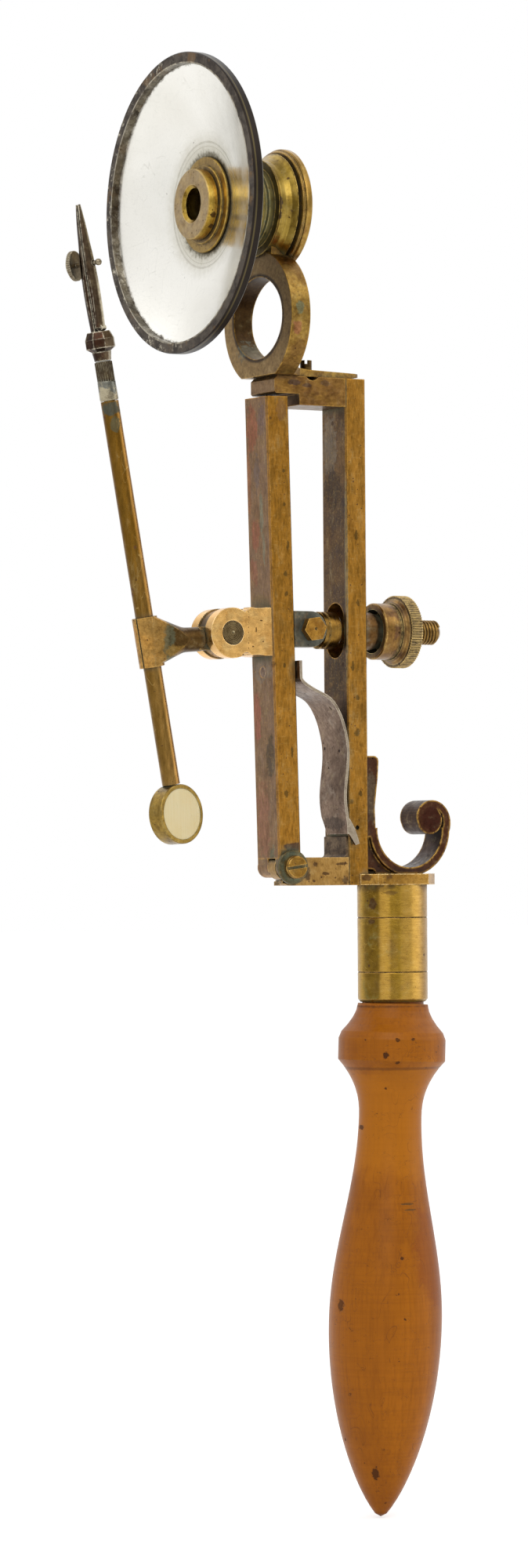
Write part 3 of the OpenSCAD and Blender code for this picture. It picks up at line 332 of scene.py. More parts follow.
def group_facing():
    """Surfaces that face one way"""
    s, i, put = new_group("facing", Direction=(-1.0, 0.0, 0.0), From=0.45, To=0.9)
    own = s.add("ShaderNodeTexCoord").outputs["Normal"]
    dot = s.dot(own, i["Direction"])
    put(s.ramp(dot, i["From"], i["To"]))


def group_scratches():
    """Thin hair lines in patches"""
    s, i, put = new_group("scratches", Vector=None, Scale=1.0, Amount=0.5, Width=0.014)
    off = s.gap(s.noise(i["Vector"], i["Scale"], 1.0, 0.4, 0.6), 0.5)
    thin = s.ramp(off, i["Width"], 0.0)
    patch = s.ramp(s.noise(i["Vector"], 0.35, 1.0), 0.35, 0.65)
    put(s.times(thin, s.math("GREATER_THAN", i["Amount"], patch)))


def group_blot():
    """One stain of a given place and half sizes, with a ragged outline"""
    s, i, put = new_group("blot", Vector=None, Centre=None, Size=(1, 1, 1), Ragged=0.4, Grain=1.5)
    inside = s.vector("DIVIDE", s.vector("SUBTRACT", i["Vector"], i["Centre"]), i["Size"])
    torn = s.times(s.minus(s.noise(i["Vector"], i["Grain"], 4.0, 0.65), 0.5), i["Ragged"])
    put(s.ramp(s.math("ADD", s.length(inside), s.times(torn, 4.0)), 1.05, 0.72))


def group_turned():
    """Fine tool lines round a turned piece, whose axis is the mapped Z"""
    s, i, put = new_group("turned", Vector=None, Scale=3.0)
    along = s.vector("MULTIPLY", i["Vector"], (0.02, 0.02, 1.0))
    put(s.noise(along, i["Scale"], 3.0, 0.7))


def build_groups():
    """The effects that several materials share"""
    group_patches()
    group_pits()
    group_worn_edges()
    group_crevices()
    group_facing()
    group_scratches()
    group_blot()
    group_turned()


class Finish:
    """One material: layers of colour, roughness and height over object coordinates in millimetres"""

    def __init__(self, name, base, roughness=0.35, metallic=1.0):
        self.material = bpy.data.materials.new(name)
        self.material.use_nodes = True
        self.sheet = Sheet(self.material.node_tree)
        self.shader = self.material.node_tree.nodes["Principled BSDF"]
        place = self.sheet.add("ShaderNodeTexCoord").outputs["Object"]
        self.mm = self.sheet.stretch(place, (1 / MM, 1 / MM, 1 / MM))
        self.colour = tone(base)
        self.roughness = roughness
        self.metallic = metallic
        self.height = 0.0

    def paint(self, mask, tint, share=1.0, rough=None, metal=None, height=0.0):
        """Lays a colour over what is there, with a roughness, metal share or height if given"""
        s = self.sheet
        mask = s.times(mask, share)
        self.colour = s.mix(mask, self.colour, tone(tint))
        if rough is not None:
            self.roughness = s.between(mask, self.roughness, rough)
        if metal is not None:
            self.metallic = s.between(mask, self.metallic, metal)
        if height:
            self.raise_by(s.times(mask, height))

    def raise_by(self, height):
        """Adds to the height"""
        self.height = self.sheet.math("ADD", height, self.height)

    def at(self, scale=(1, 1, 1), turn=(0, 0, 0), place=(0, 0, 0)):
        """The coordinates, moved, turned by degrees and scaled"""
        if (scale, turn, place) == ((1, 1, 1), (0, 0, 0), (0, 0, 0)):
            return self.mm
        return self.sheet.stretch(self.mm, scale, tuple(math.radians(a) for a in turn), place)

    def away(self, centre, share):
        """Distance from a centre in mm, with the share that each direction counts for"""
        s = self.sheet
        return s.length(s.vector("MULTIPLY", s.vector("SUBTRACT", self.mm, centre), share))

    def patches(self, tint, share=1.0, scale=0.3, low=0.4, high=0.66, detail=5.0, over=(1, 1, 1),
                place=(0, 0, 0), **more):
        """Clouds of another tone"""
        where = self.at(over, place=place)
        mask = self.sheet.group("patches", Vector=where, Scale=scale, Detail=detail, From=low, To=high)
        self.paint(mask, tint, share, **more)

    def mottle(self, dark=0.5, light=0.3, scale=0.7, over=(1, 1, 1)):
        """Fine darker and lighter mottling of whatever colour is there"""
        s = self.sheet
        value = s.noise(self.at(over, place=(3.1, 7.7, 5.3)), scale, 6.0, 0.78)
        deep = s.times(s.ramp(value, 0.52, 0.33), dark)
        self.colour = s.mix(deep, self.colour, (0.26, 0.18, 0.1), "MULTIPLY")
        bright = s.times(s.ramp(value, 0.52, 0.72), light)
        self.colour = s.mix(bright, self.colour, (0.32, 0.26, 0.13), "SCREEN")
        self.raise_by(s.times(value, 0.008))

    def pits(self, tint, share=0.85, scale=1.6, size=0.3, cover=0.4, rough=0.6, height=-0.02,
             over=(1, 1, 1)):
        """Pits and spots"""
        mask = self.sheet.group("pits", Vector=self.at(over), Scale=scale, Size=size, Cover=cover)
        self.paint(mask, tint, share, rough=rough, height=height)

    def edges(self, tint, share=0.7, radius=0.12, gain=5.0, rough=0.22):
        """Edges rubbed bright, partly real wear and partly painted highlight"""
        mask = self.sheet.group("worn and glinting edges", Vector=self.mm, Radius=radius * MM, Gain=gain)
        self.paint(mask, tint, share, rough=rough)

    def dirt_and_shade(self, tint, share=1.0, distance=1.2, gain=1.5, rough=0.75, metal=0.2):
        """Dirt and verdigris where pieces meet; a dark tint here is partly dirt and partly painted shade
        """
        mask = self.sheet.group("crevices", Vector=self.mm, Distance=distance * MM, Gain=gain)
        self.paint(mask, tint, share, rough=rough, metal=metal)

    def facing(self, direction, tint, share=1.0, low=0.45, high=0.9, cloud=0.3, **more):
        """Colour on surfaces that face one way: a real skin on some pieces, painted light and shade on
        others
        """
        s = self.sheet
        mask = s.group("facing", Direction=direction, From=low, To=high)
        broken = s.ramp(s.noise(self.mm, cloud, 5.0, 0.65), 0.2, 0.7, 0.72, 1.0)
        self.paint(s.times(mask, broken), tint, share, **more)

    def grain(self, tint, share=0.4, scale=3.0, over=(1, 1, 1), turn=(0, 0, 0), low=0.32, high=0.7,
              height=0.004):
        """Fine speckle or brushing all over"""
        s = self.sheet
        value = s.noise(self.at(over, turn), scale, 5.0, 0.72)
        self.paint(s.ramp(value, low, high), tint, share)
        self.raise_by(s.times(value, height))

    def hairs(self, tint, share=0.6, scale=0.5, amount=0.6, width=0.008, over=(1, 1, 1), turn=(0, 0, 0),
              height=0.0):
        """Hair scratches"""
        where = self.at(over, turn)
        mask = self.sheet.group("scratches", Vector=where, Scale=scale, Amount=amount, Width=width)
        self.paint(mask, tint, share, height=height)

    def blot(self, centre, size, tint, share=0.8, ragged=0.5, grain=1.5, **more):
        """One stain at a place, with its half sizes in mm"""
        values = {"Centre": centre, "Size": size, "Ragged": ragged, "Grain": grain}
        mask = self.sheet.group("blot", Vector=self.mm, **values)
        self.paint(mask, tint, share, **more)

    def spots(self, y, rows, *look, **more):
        """Stains on a near face at this y, each with its x, z, half width and half height"""
        for x, z, wide, tall in rows:
            self.blot((x, y, z), (wide, STAIN_DEPTH, tall), *look, **more)

    def turned(self, axis_turn, tint, share=0.25, scale=3.0, height=0.004):
        """Tool lines round a turned piece"""
        s = self.sheet
        value = s.group("turned", Vector=self.at(turn=axis_turn), Scale=scale)
        self.paint(s.ramp(value, 0.4, 0.66), tint, share)
        self.raise_by(s.times(value, height))

    def polish(self, low, high, scale=1.2):
        """Roughness that wanders between two values"""
        s = self.sheet
        wander = s.ramp(s.noise(self.mm, scale, 4.0, 0.6), 0.3, 0.7, low, high)
        if not isinstance(self.roughness, float):
            wander = s.math("MAXIMUM", self.roughness, wander)
        self.roughness = wander

    def done(self, *nodes, soften=0.12):
        """Joins the layers to the shader, softens edges in the shading, and dresses the nodes"""
        s = self.sheet
        s.feed(self.colour, self.shader.inputs["Base Color"])
        s.feed(self.roughness, self.shader.inputs["Roughness"])
        s.feed(self.metallic, self.shader.inputs["Metallic"])
        inputs = {"Strength": 1.0, "Distance": MM, "Height": self.height}
        if soften:
            inputs["Normal"] = s.add("ShaderNodeBevel", {"Radius": soften * MM}, samples=4).outputs[0]
        s.feed(s.add("ShaderNodeBump", inputs).outputs[0], self.shader.inputs["Normal"])
        for name in nodes:
            NODES[name].data.materials.clear()
            NODES[name].data.materials.append(self.material)
        return self.material


class PieceOperator:
    """What the piece operators share"""
    bl_options = {"REGISTER", "UNDO"}

    @property
    def tones(self):
        """The colours that are set in the panel"""
        return bpy.context.scene.microscope_finish


class MICROSCOPE_OT_handle(PieceOperator, bpy.types.Operator):
    """Turned fruitwood handle: streaks along it, tool lines round it, nicks, scratches and knots, and
    painted shade on its right side
    """
    bl_idname = "microscope.handle"
    bl_label = "Handle"

    nicks = (
        ((-4.8, -5.8, -15.1), (0.35, 0.5, 0.55), 0.9), ((-3.4, -6.6, -13.0), (0.3, 0.4, 0.3), 0.8),
        ((-3.3, -6.4, -16.1), (0.35, 0.4, 0.22), 0.8), ((-1.3, -7.2, -13.0), (0.3, 0.4, 0.2), 0.8),
        ((-9.1, -0.7, -49.1), (0.5, 0.7, 0.8), 0.75), ((-5.1, -2.9, -72.0), (0.55, 0.6, 1.0), 0.85),
        ((-4.9, 0.5, -25.1), (0.5, 0.8, 0.35), 0.8), ((-3.0, -5.3, -47.5), (0.22, 0.4, 0.2), 0.6),
        ((-8.4, -1.9, -61.0), (0.3, 0.5, 0.5), 0.6), ((-6.0, 6.0, -38.0), (0.5, 0.6, 0.9), 0.7),
        ((5.5, 1.5, -55.0), (0.6, 0.6, 0.9), 0.7), ((4.6, 5.4, -13.5), (0.5, 0.5, 0.4), 0.7),
    )

    def execute(self, context):
        c = self.tones
        f = Finish("fruitwood", c.wood, 0.36, 0.0)
        f.patches(c.wood_dark, 0.55, scale=0.1, low=0.42, high=0.72, over=(1.0, 1.0, 0.4))
        f.patches("B46A10", 0.6, scale=0.2, low=0.48, high=0.75, over=(1.0, 1.0, 0.12), place=(7, 3, 9))
        f.grain("743C04", 0.4, scale=0.9, over=(2.6, 2.6, 0.09), low=0.42, high=0.75)
        f.grain("5E2F0A", 0.5, scale=3.4, over=(2.0, 2.0, 0.3), low=0.6, high=0.78)
        f.turned((0, 0, 0), "6B3606", 0.14, scale=2.2, height=0.006)
        # The right side painted darker: painted shade
        f.facing((0.72, -0.69, 0), "84440A", 0.35, low=0.88, high=1.0, cloud=0.12)
        f.blot((2.6, -6.4, -43.0), (4.0, 5.0, 8.0), "7E3A08", 0.45, ragged=0.4, grain=0.3)
        f.blot((0, 0, -24), (30, 30, 9), "B87014", 0.5, ragged=0.25, grain=0.2)
        f.hairs("6A3A10", 0.55, scale=0.45, amount=0.5, over=(1, 1, 0.5), height=-0.01)
        f.hairs("4A280C", 0.7, scale=0.9, amount=0.25, width=0.01, over=(1, 1, 2.2), turn=(20, 30, 0),
                height=-0.012)
        f.pits(c.wood_nick, 0.85, scale=0.4, size=0.14, cover=0.7, height=-0.03)
        f.pits("5A300C", 0.6, scale=1.1, size=0.12, cover=0.3, rough=0.5, height=-0.015)
        for place, size, share in self.nicks:
            f.blot(place, size, c.wood_nick, share, grain=2.2, rough=0.65, height=-0.08)
        f.blot((-1.4, -5.7, -35.4), (1.0, 1.4, 0.16), "4A3A20", 0.7, grain=1.4, height=-0.05)
        f.blot((-0.9, -5.7, -36.2), (0.9, 1.4, 0.14), "4A3A20", 0.65, grain=1.4, height=-0.05)
        f.blot((-0.3, 0, -8.6), (5.6, 5.6, 0.35), "3E2410", 0.75, ragged=0.1, rough=0.6)
        f.blot((-0.6, 0, -17.0), (9, 9, 0.35), "5A3210", 0.5, ragged=0.12)
        f.dirt_and_shade("3A220E", 0.5, distance=1.0, gain=1.2, rough=0.6, metal=0.0)
        f.edges("C07E24", 0.45, radius=0.35, gain=4.0, rough=0.3)
        f.polish(0.26, 0.4, 0.6)
        f.shader.inputs["Specular IOR Level"].default_value = 0.14
        f.done("handle", soften=0.2)
        return {"FINISHED"}


class MICROSCOPE_OT_ferrule(PieceOperator, bpy.types.Operator):
    """Drawn brass ferrule with scribed lines, brown spots, a faint iridescent skin, and painted highlight
    and reflection bands down its side
    """
    bl_idname = "microscope.ferrule"
    bl_label = "Ferrule"

    def execute(self, context):
        c = self.tones
        f = Finish("ferrule brass", c.ferrule, 0.24)
        f.patches("B8923A", 0.6, scale=0.16, high=0.7, over=(1, 1, 0.6))
        f.patches("8A6F55", 0.55, scale=0.2, low=0.5, high=0.72, place=(11, 4, 2))
        f.facing((0.82, -0.57, 0), "A88468", 0.5, low=0.5, high=0.98, cloud=0.25)
        f.facing((-0.93, -0.37, 0), "4E3A10", 0.85, low=0.9, high=0.99, cloud=0.5)
        # Narrow bands by facing: two painted highlights with a painted darker reflection between them
        f.facing((-0.7, -0.71, 0), "CFA24A", 0.75, low=0.975, high=0.997, cloud=0.4)
        f.facing((-0.46, -0.89, 0), "8C6C24", 0.6, low=0.985, high=0.999, cloud=0.4)
        f.facing((0.0, -1.0, 0), "CEA252", 0.6, low=0.93, high=0.99, cloud=0.4)
        f.patches("7D7A4A", 0.4, scale=0.45, low=0.56, high=0.7, place=(3, 9, 5))
        f.grain("6B5220", 0.35, scale=2.2, over=(0.25, 0.25, 4.0), height=0.002)
        f.hairs("C8A450", 0.4, scale=0.6, width=0.01, over=(1, 1, 2.0))
        f.pits(c.brown, 0.8, scale=0.75, size=0.26, cover=0.3, rough=0.5, height=-0.01)
        f.pits(c.brown, 0.7, scale=2.4, size=0.22, cover=0.2, rough=0.5, height=-0.008)
        f.blot((-4.3, -1.9, 5.4), (0.5, 0.9, 0.8), c.brown, 0.8, ragged=0.35, rough=0.6)
        f.blot((-4.4, -1.6, 3.0), (0.35, 0.9, 0.4), c.brown, 0.75, ragged=0.35, rough=0.6)
        f.blot((-2.6, -3.9, 6.9), (1.2, 0.8, 0.3), c.brown, 0.6, ragged=0.35, rough=0.6)
        for level in (-3.92, 3.52):
            f.blot((0, 0, level), (6, 6, 0.14), "1E160A", 0.95, ragged=0.02, rough=0.6)
        f.mottle(dark=0.3, light=0.25, scale=1.1, over=(0.6, 0.6, 1))
        f.dirt_and_shade("32260E", 0.95, gain=1.8)
        f.edges(c.brass, 0.6, radius=0.22)
        f.polish(0.17, 0.34, 0.9)
        f.done("ferrule")
        return {"FINISHED"}


class MICROSCOPE_OT_plate(PieceOperator, bpy.types.Operator):
    """Base plate and foot arm, rubbed bright, with pits and dark blots, a painted lighter top and painted
    glints on the plate's edges
    """
    bl_idname = "microscope.plate"
    bl_label = "Plate and foot arm"

    def execute(self, context):
        c = self.tones
        f = Finish("rubbed plate", "C09246", 0.24)
        f.patches("8C6426", 0.75, scale=0.22, low=0.42, high=0.62)
        # Upward faces painted lighter: painted light from above
        f.facing((0, 0, 1), "D0A864", 0.7)
        f.patches(c.brown, 0.85, scale=0.5, low=0.6, high=0.7, detail=6.0, place=(2, 8, 1), rough=0.5)
        f.grain("70501E", 0.4, over=(0.4, 0.4, 2.0), height=0.003)
        f.pits(c.brown, 0.85, scale=1.5, size=0.26, cover=0.35)
        f.blot((-6.4, -3.9, 9.0), (0.7, 1.2, 0.5), c.brown, 0.8, ragged=0.35, rough=0.55)
        f.mottle()
        f.dirt_and_shade("2E2212", 1.0, distance=1.4, gain=1.8)
        # Very bright edges: rubbed brass with painted glints along them
        f.edges("FFE0A0", 1.0, radius=0.25, gain=7.0)
        f.polish(0.2, 0.34, 1.4)
        f.done("base_plate", soften=0.2)

        f = Finish("rubbed foot arm", "A98246", 0.3)
        f.patches("C39A58", 0.8, scale=0.2, low=0.38)
        f.patches("85602E", 0.7, scale=0.33, low=0.5, high=0.7, place=(5, 0, 3))
        f.grain("6A4A20", 0.45, scale=2.4, over=(2.0, 1.0, 0.5), height=0.003)
        f.facing((-1, 0, 0), "6E5636", 0.7)
        f.pits(c.brown, 0.85, scale=1.3, size=0.28, height=-0.03)
        f.pits("2E2016", 0.85, scale=3.0, size=0.24, cover=0.16)
        f.spots(-3.2, (
            (-14.2, 10.8, 0.42, 0.4), (-12.5, 9.6, 0.6, 0.24), (-14.4, 8.6, 0.24, 0.2),
            (-10.0, 10.9, 1.1, 0.2), (-9.4, 8.7, 0.5, 0.6), (-15.4, 9.4, 0.5, 1.0),
        ), c.brown, 0.8, grain=2.4, rough=0.55, height=-0.03)
        f.mottle()
        f.dirt_and_shade("40483A", 1.0, distance=1.5, gain=2.0)
        f.edges("E6BE7C", 0.8, radius=0.24)
        f.polish(0.24, 0.4, 1.4)
        f.done("foot_arm", soften=0.2)
        return {"FINISHED"}


class MICROSCOPE_OT_scroll(PieceOperator, bpy.types.Operator):
    """Thumb scroll: dark brown skin with golden edges, mottled inside"""
    bl_idname = "microscope.scroll"
    bl_label = "Thumb scroll"

    def execute(self, context):
        f = Finish("scroll skin", "3A251A", 0.32)
        f.patches("301E14", 0.9, scale=0.25, high=0.6)
        f.patches("6A5644", 0.45, scale=0.6, low=0.6, high=0.74, place=(4, 2, 8))
        f.facing((0, -1, 0), "5A3826", 0.8, cloud=0.5)
        f.blot((5.3, -2.2, 17.0), (2.0, 0.8, 2.0), "3C1E18", 0.75, ragged=0.25)
        f.blot((-4.6, -2.2, 20.0), (0.9, 1.0, 4.0), "6A5E4A", 0.6, ragged=0.4)
        f.grain("2E2018", 0.5, scale=2.6, height=0.006)
        f.pits("1E1410", 0.9, scale=1.2, size=0.32, cover=0.5, height=-0.05)
        f.pits("94866E", 0.5, scale=2.6, size=0.24, cover=0.2, rough=0.35, height=0.0)
        f.mottle()
        f.dirt_and_shade("241A12", 0.8, distance=1.5)
        f.edges("D8AA54", 1.0, radius=0.45, gain=6.0)
        f.polish(0.28, 0.5)
        f.done("scroll", soften=0.22)
        return {"FINISHED"}


class MICROSCOPE_OT_frame_bars(PieceOperator, bpy.types.Operator):
    """Fixed bar and top arm: ochre near faces, dark front faces that are partly patina and partly painted
    shade, painted light on the top arm's upper faces and painted shade under it, spots and cross-brushed
    grain
    """
    bl_idname = "microscope.frame_bars"
    bl_label = "Fixed bar and top arm"

    def execute(self, context):
        c = self.tones
        f = Finish("fixed bar skin", c.ochre, 0.36)
        f.patches("B07E34", 0.8, scale=0.14, low=0.36, over=(1, 1, 0.35))
        f.patches("6E5226", 0.6, low=0.5, high=0.72, over=(1, 1, 0.4), place=(3, 1, 7))
        # Dark front faces: partly patina, partly painted shade
        f.facing((-1, 0, 0), "40312A", 1.0, cloud=0.25)
        f.blot((-8.9, 1.2, 68.0), (0.6, 2.0, 5.0), "7E7466", 0.55, ragged=0.4)
        f.blot((-8.9, -2.95, 50.0), (0.4, 0.35, 16.0), "868068", 0.8, ragged=0.2, grain=0.8)
        f.blot((-8.9, 0.5, 62.0), (0.5, 2.6, 3.0), "2C1E18", 0.8, ragged=0.4)
        f.blot((-8.9, -0.5, 38.0), (0.5, 2.6, 5.0), "30251E", 0.7, grain=0.8)
        f.blot((-8.9, 1.0, 22.0), (0.5, 1.6, 5.0), "66584A", 0.6, grain=0.8)
        f.facing((1, 0, 0), "6A4C2A", 0.8)
        f.facing((0, 1, 0), "7A5C2E", 0.6)
        f.grain("523A12", 0.6, scale=1.5, over=(1.8, 1.8, 0.4), turn=(0, 38, 0), height=0.016)
        f.grain("C09A58", 0.35, scale=2.0, over=(0.5, 1.6, 1.8), turn=(0, -38, 0), low=0.5, high=0.75,
                height=0.003)
        f.pits(c.brown, 0.75, scale=0.38, size=0.22, cover=0.3, height=-0.01)
        f.pits(c.brown, 0.8, size=0.26, cover=0.25, height=-0.015)
        f.spots(-3.2, (
            (-7.4, 28.7, 0.42, 0.62), (-8.0, 37.7, 0.35, 0.7), (-6.9, 20.5, 0.35, 0.5),
            (-7.3, 33.5, 0.3, 0.4), (-8.5, 19.3, 0.5, 0.4), (-7.3, 55.6, 0.3, 0.9),
            (-7.1, 46.4, 0.3, 0.5),
        ), "54401F", 0.8, grain=2.0, rough=0.5)
        f.blot((-7.5, -3.2, 15.8), (0.34, 0.6, 0.34), "140E0A", 1.0, ragged=0.25, rough=0.8, height=-0.3)
        f.mottle(dark=0.4, scale=0.6, over=(1, 1, 0.45))
        f.dirt_and_shade(c.verdigris, 0.75, distance=1.0, gain=1.3)
        f.edges("DCA64A", 0.95, radius=0.3, gain=6.0)
        f.polish(0.26, 0.46)
        f.done("rear_bar", soften=0.14)

        f = Finish("top arm skin", "8A6436", 0.34)
        f.patches("A8803E", 0.7, high=0.64)
        f.patches("64452A", 0.8, scale=0.42, low=0.48, place=(2, 6, 3))
        f.facing((-1, 0, 0), "7E6448", 0.9, cloud=0.5)
        # Upper faces painted lighter and under faces darker: painted light and painted shade
        f.facing((0, 0, 1), "A88850", 0.6)
        f.facing((0, 0, -1), "5A4020", 0.8)
        f.blot((-16.9, -3.2, 76.0), (1.3, 0.6, 0.45), "54423A", 0.85, ragged=0.3, grain=1.2)
        f.blot((-15.0, -3.2, 75.7), (0.8, 0.6, 0.35), "54423A", 0.75, ragged=0.4, grain=1.2)
        f.blot((-12.0, -3.2, 76.1), (1.0, 0.6, 0.4), "54423A", 0.6, grain=1.2)
        f.grain("5A4016", 0.45, scale=1.8, over=(0.5, 1.6, 1.6))
        f.pits(c.brown, 0.8, scale=1.5, size=0.26, cover=0.35, height=-0.015)
        f.mottle()
        f.dirt_and_shade("2E2212", 0.8, distance=1.0)
        f.edges("C69A50", 0.8, radius=0.26)
        f.polish(0.26, 0.44)
        f.done("top_arm", soften=0.2)
        return {"FINISHED"}


class MICROSCOPE_OT_limb(PieceOperator, bpy.types.Operator):
    """Hinged limb: ochre near face, purple-brown front face that is partly patina and partly painted
    shade, with a grey-green run
    """
    bl_idname = "microscope.limb"
    bl_label = "Hinged limb"

    front_skin = (
        ((-21.1, 1.2, 70.0), 1.6, 3.4, "96543A", 0.75), ((-21.0, -1.4, 71.0), 1.0, 2.6, "76605C", 0.7),
        ((-20.9, 0.9, 55.5), 1.2, 2.6, "94543E", 0.7), ((-20.9, -0.8, 58.2), 0.55, 3.4, "7C7A66", 0.85),
        ((-20.8, -1.2, 53.5), 0.4, 2.6, "7C7A66", 0.7), ((-20.7, 1.5, 50.5), 1.0, 2.0, "8A4E40", 0.6),
        ((-20.5, 0.0, 46.0), 2.6, 1.6, "7E6A44", 0.55), ((-20.2, 1.8, 31.0), 1.0, 3.8, "9A5848", 0.8),
        ((-20.4, 0.0, 37.5), 2.8, 2.2, "7A7268", 0.55), ((-20.0, -1.4, 25.5), 1.3, 3.4, "453C30", 0.8),
        ((-19.9, 0.9, 17.0), 1.8, 5.8, "94644E", 0.7), ((-19.8, -1.2, 10.5), 1.0, 2.8, "66705C", 0.75),
        ((-20.9, 2.3, 63.0), 0.6, 6.0, "A06A48", 0.7), ((-20.8, 0.2, 64.0), 0.9, 3.0, "665A5C", 0.6),
    )

    def execute(self, context):
        c = self.tones
        f = Finish("limb skin", c.ochre, 0.36)
        f.patches("B07C30", 0.8, scale=0.14, low=0.36, high=0.64, over=(1, 1, 0.35), place=(1, 1, 1))
        f.patches("72562A", 0.6, low=0.5, high=0.72, over=(1, 1, 0.4), place=(9, 1, 4))
        # Front face: purple skin and painted shade
        f.facing((-1, 0, 0), c.purple_skin_and_shade, 1.0)
        for place, wide, tall, tint, share in self.front_skin:
            f.blot(place, (STAIN_DEPTH, wide, tall), tint, share, ragged=0.4, grain=0.9)
        f.facing((1, 0, 0), "6A4C2A", 0.8)
        f.grain("523A12", 0.6, scale=1.5, over=(1.8, 1.8, 0.4), turn=(0, 38, 0), height=0.016)
        f.grain("BE9652", 0.35, scale=2.0, over=(0.5, 1.6, 1.8), turn=(0, -38, 0), low=0.5, high=0.75,
                height=0.003)
        f.pits(c.brown, 0.7, scale=0.4, size=0.22, cover=0.25, height=-0.01)
        f.pits(c.brown, 0.8, scale=1.7, size=0.26, cover=0.25, height=-0.015)
        f.spots(-3.0, (
            (-18.3, 47.4, 0.3, 0.4), (-18.4, 50.1, 0.32, 0.45), (-18.0, 54.0, 0.22, 0.7),
            (-18.7, 37.7, 0.22, 0.4), (-18.5, 20.4, 0.35, 0.6), (-18.6, 64.0, 0.25, 0.3),
            (-18.5, 59.5, 0.2, 0.3), (-17.6, 26.0, 0.2, 0.8),
        ), "54401F", 0.8, grain=2.0, rough=0.5)
        f.blot((-17.5, -3.0, 13.2), (1.5, 0.8, 0.75), "3E2A28", 0.85, ragged=0.35, grain=1.4)
        f.blot((-18.9, -3.0, 72.2), (0.9, 0.8, 1.6), "7A5A3A", 0.6, ragged=0.3)
        f.mottle(dark=0.4, scale=0.6, over=(1, 1, 0.45))
        f.dirt_and_shade("4E5644", 0.95, distance=1.5, gain=1.9)
        f.edges("D89E44", 0.95, radius=0.3, gain=6.0)
        f.polish(0.26, 0.46)
        f.done("front_bar", soften=0.16)
        return {"FINISHED"}


class MICROSCOPE_OT_hinge(PieceOperator, bpy.types.Operator):
    """Slotted hinge screw, and the washer with verdigris round it"""
    bl_idname = "microscope.hinge"
    bl_label = "Hinge screw"

    def execute(self, context):
        c = self.tones
        f = Finish("hinge screw brass", "A47A34", 0.3)
        f.patches("7A5A2A", 0.7, scale=0.8, low=0.42, high=0.62)
        f.grain("4E3818", 0.45, scale=3.5, height=0.005)
        f.pits(c.brown, 0.8, scale=2.2, cover=0.35)
        f.mottle()
        f.dirt_and_shade("5E6650", 0.9, distance=0.7, gain=1.8)
        f.edges("E2B866", 0.85, radius=0.18)
        f.done("hinge_screw")

        f = Finish("washer verdigris", "6A6448", 0.45)
        f.patches("4A4A3C", 0.8, scale=1.0, high=0.6)
        f.patches("8A6A3C", 0.7, scale=0.7, low=0.5, place=(4, 4, 4))
        f.grain("2E2A20", 0.5, scale=4.0, height=0.008)
        f.mottle()
        f.dirt_and_shade("7C8A72", 0.7, distance=0.8, gain=1.4)
        f.edges("A4874E", 0.6)
        f.done("hinge_washer")
        return {"FINISHED"}


class MICROSCOPE_OT_spring(PieceOperator, bpy.types.Operator):
    """Pitted steel leaf spring with its rivet, a near face partly rubbed bright and partly painted
    highlight, and the plate it bears on
    """
    bl_idname = "microscope.spring"
    bl_label = "Leaf spring"

    def execute(self, context):
        c = self.tones
        f = Finish("spring steel", "887260", 0.34)
        f.patches("5E4A3A", 0.8, scale=0.22, high=0.64, over=(1, 1, 0.5))
        f.patches("A09282", 0.5, scale=0.5, low=0.52, high=0.7, place=(3, 3, 3))
        f.grain(c.rust, 0.5, scale=2.2, over=(1, 1, 0.7), height=0.01)
        f.pits("2A1A12", 0.9, scale=1.1, cover=0.5, height=-0.06, over=(1, 1, 0.7))
        f.pits("3A241A", 0.85, scale=2.6, size=0.28, cover=0.35, height=-0.04, over=(1, 1, 0.7))
        f.blot((-9.7, -0.3, 16.4), (0.8, 3.4, 1.0), "46382E", 0.7, ragged=0.4)
        # Lighter near face: partly rubbed steel, partly painted highlight
        f.facing((0, -1, 0), "A89C88", 0.8, low=0.6, high=0.95, cloud=1.0, rough=0.3)
        f.facing((1, 0, 0), "4E4238", 0.5)
        f.mottle()
        f.edges("D8CCB8", 0.9, radius=0.16, gain=7.0)
        f.polish(0.3, 0.48, 1.8)
        f.done("leaf_spring", "spring_rivet", soften=0.08)

        f = Finish("seat steel", "7A6650", 0.48)
        f.patches("4A3A2C", 0.9, scale=0.6, low=0.42, high=0.6)
        f.patches("7A6A52", 0.5, scale=0.9, low=0.52, high=0.68, place=(1, 7, 2))
        f.grain("241C16", 0.5, height=0.02)
        f.pits("1E1612", 0.9, size=0.32, height=-0.05)
        f.mottle()
        f.edges("A08E72", 0.5, radius=0.14)
        f.done("spring_seat", soften=0.1)
        return {"FINISHED"}


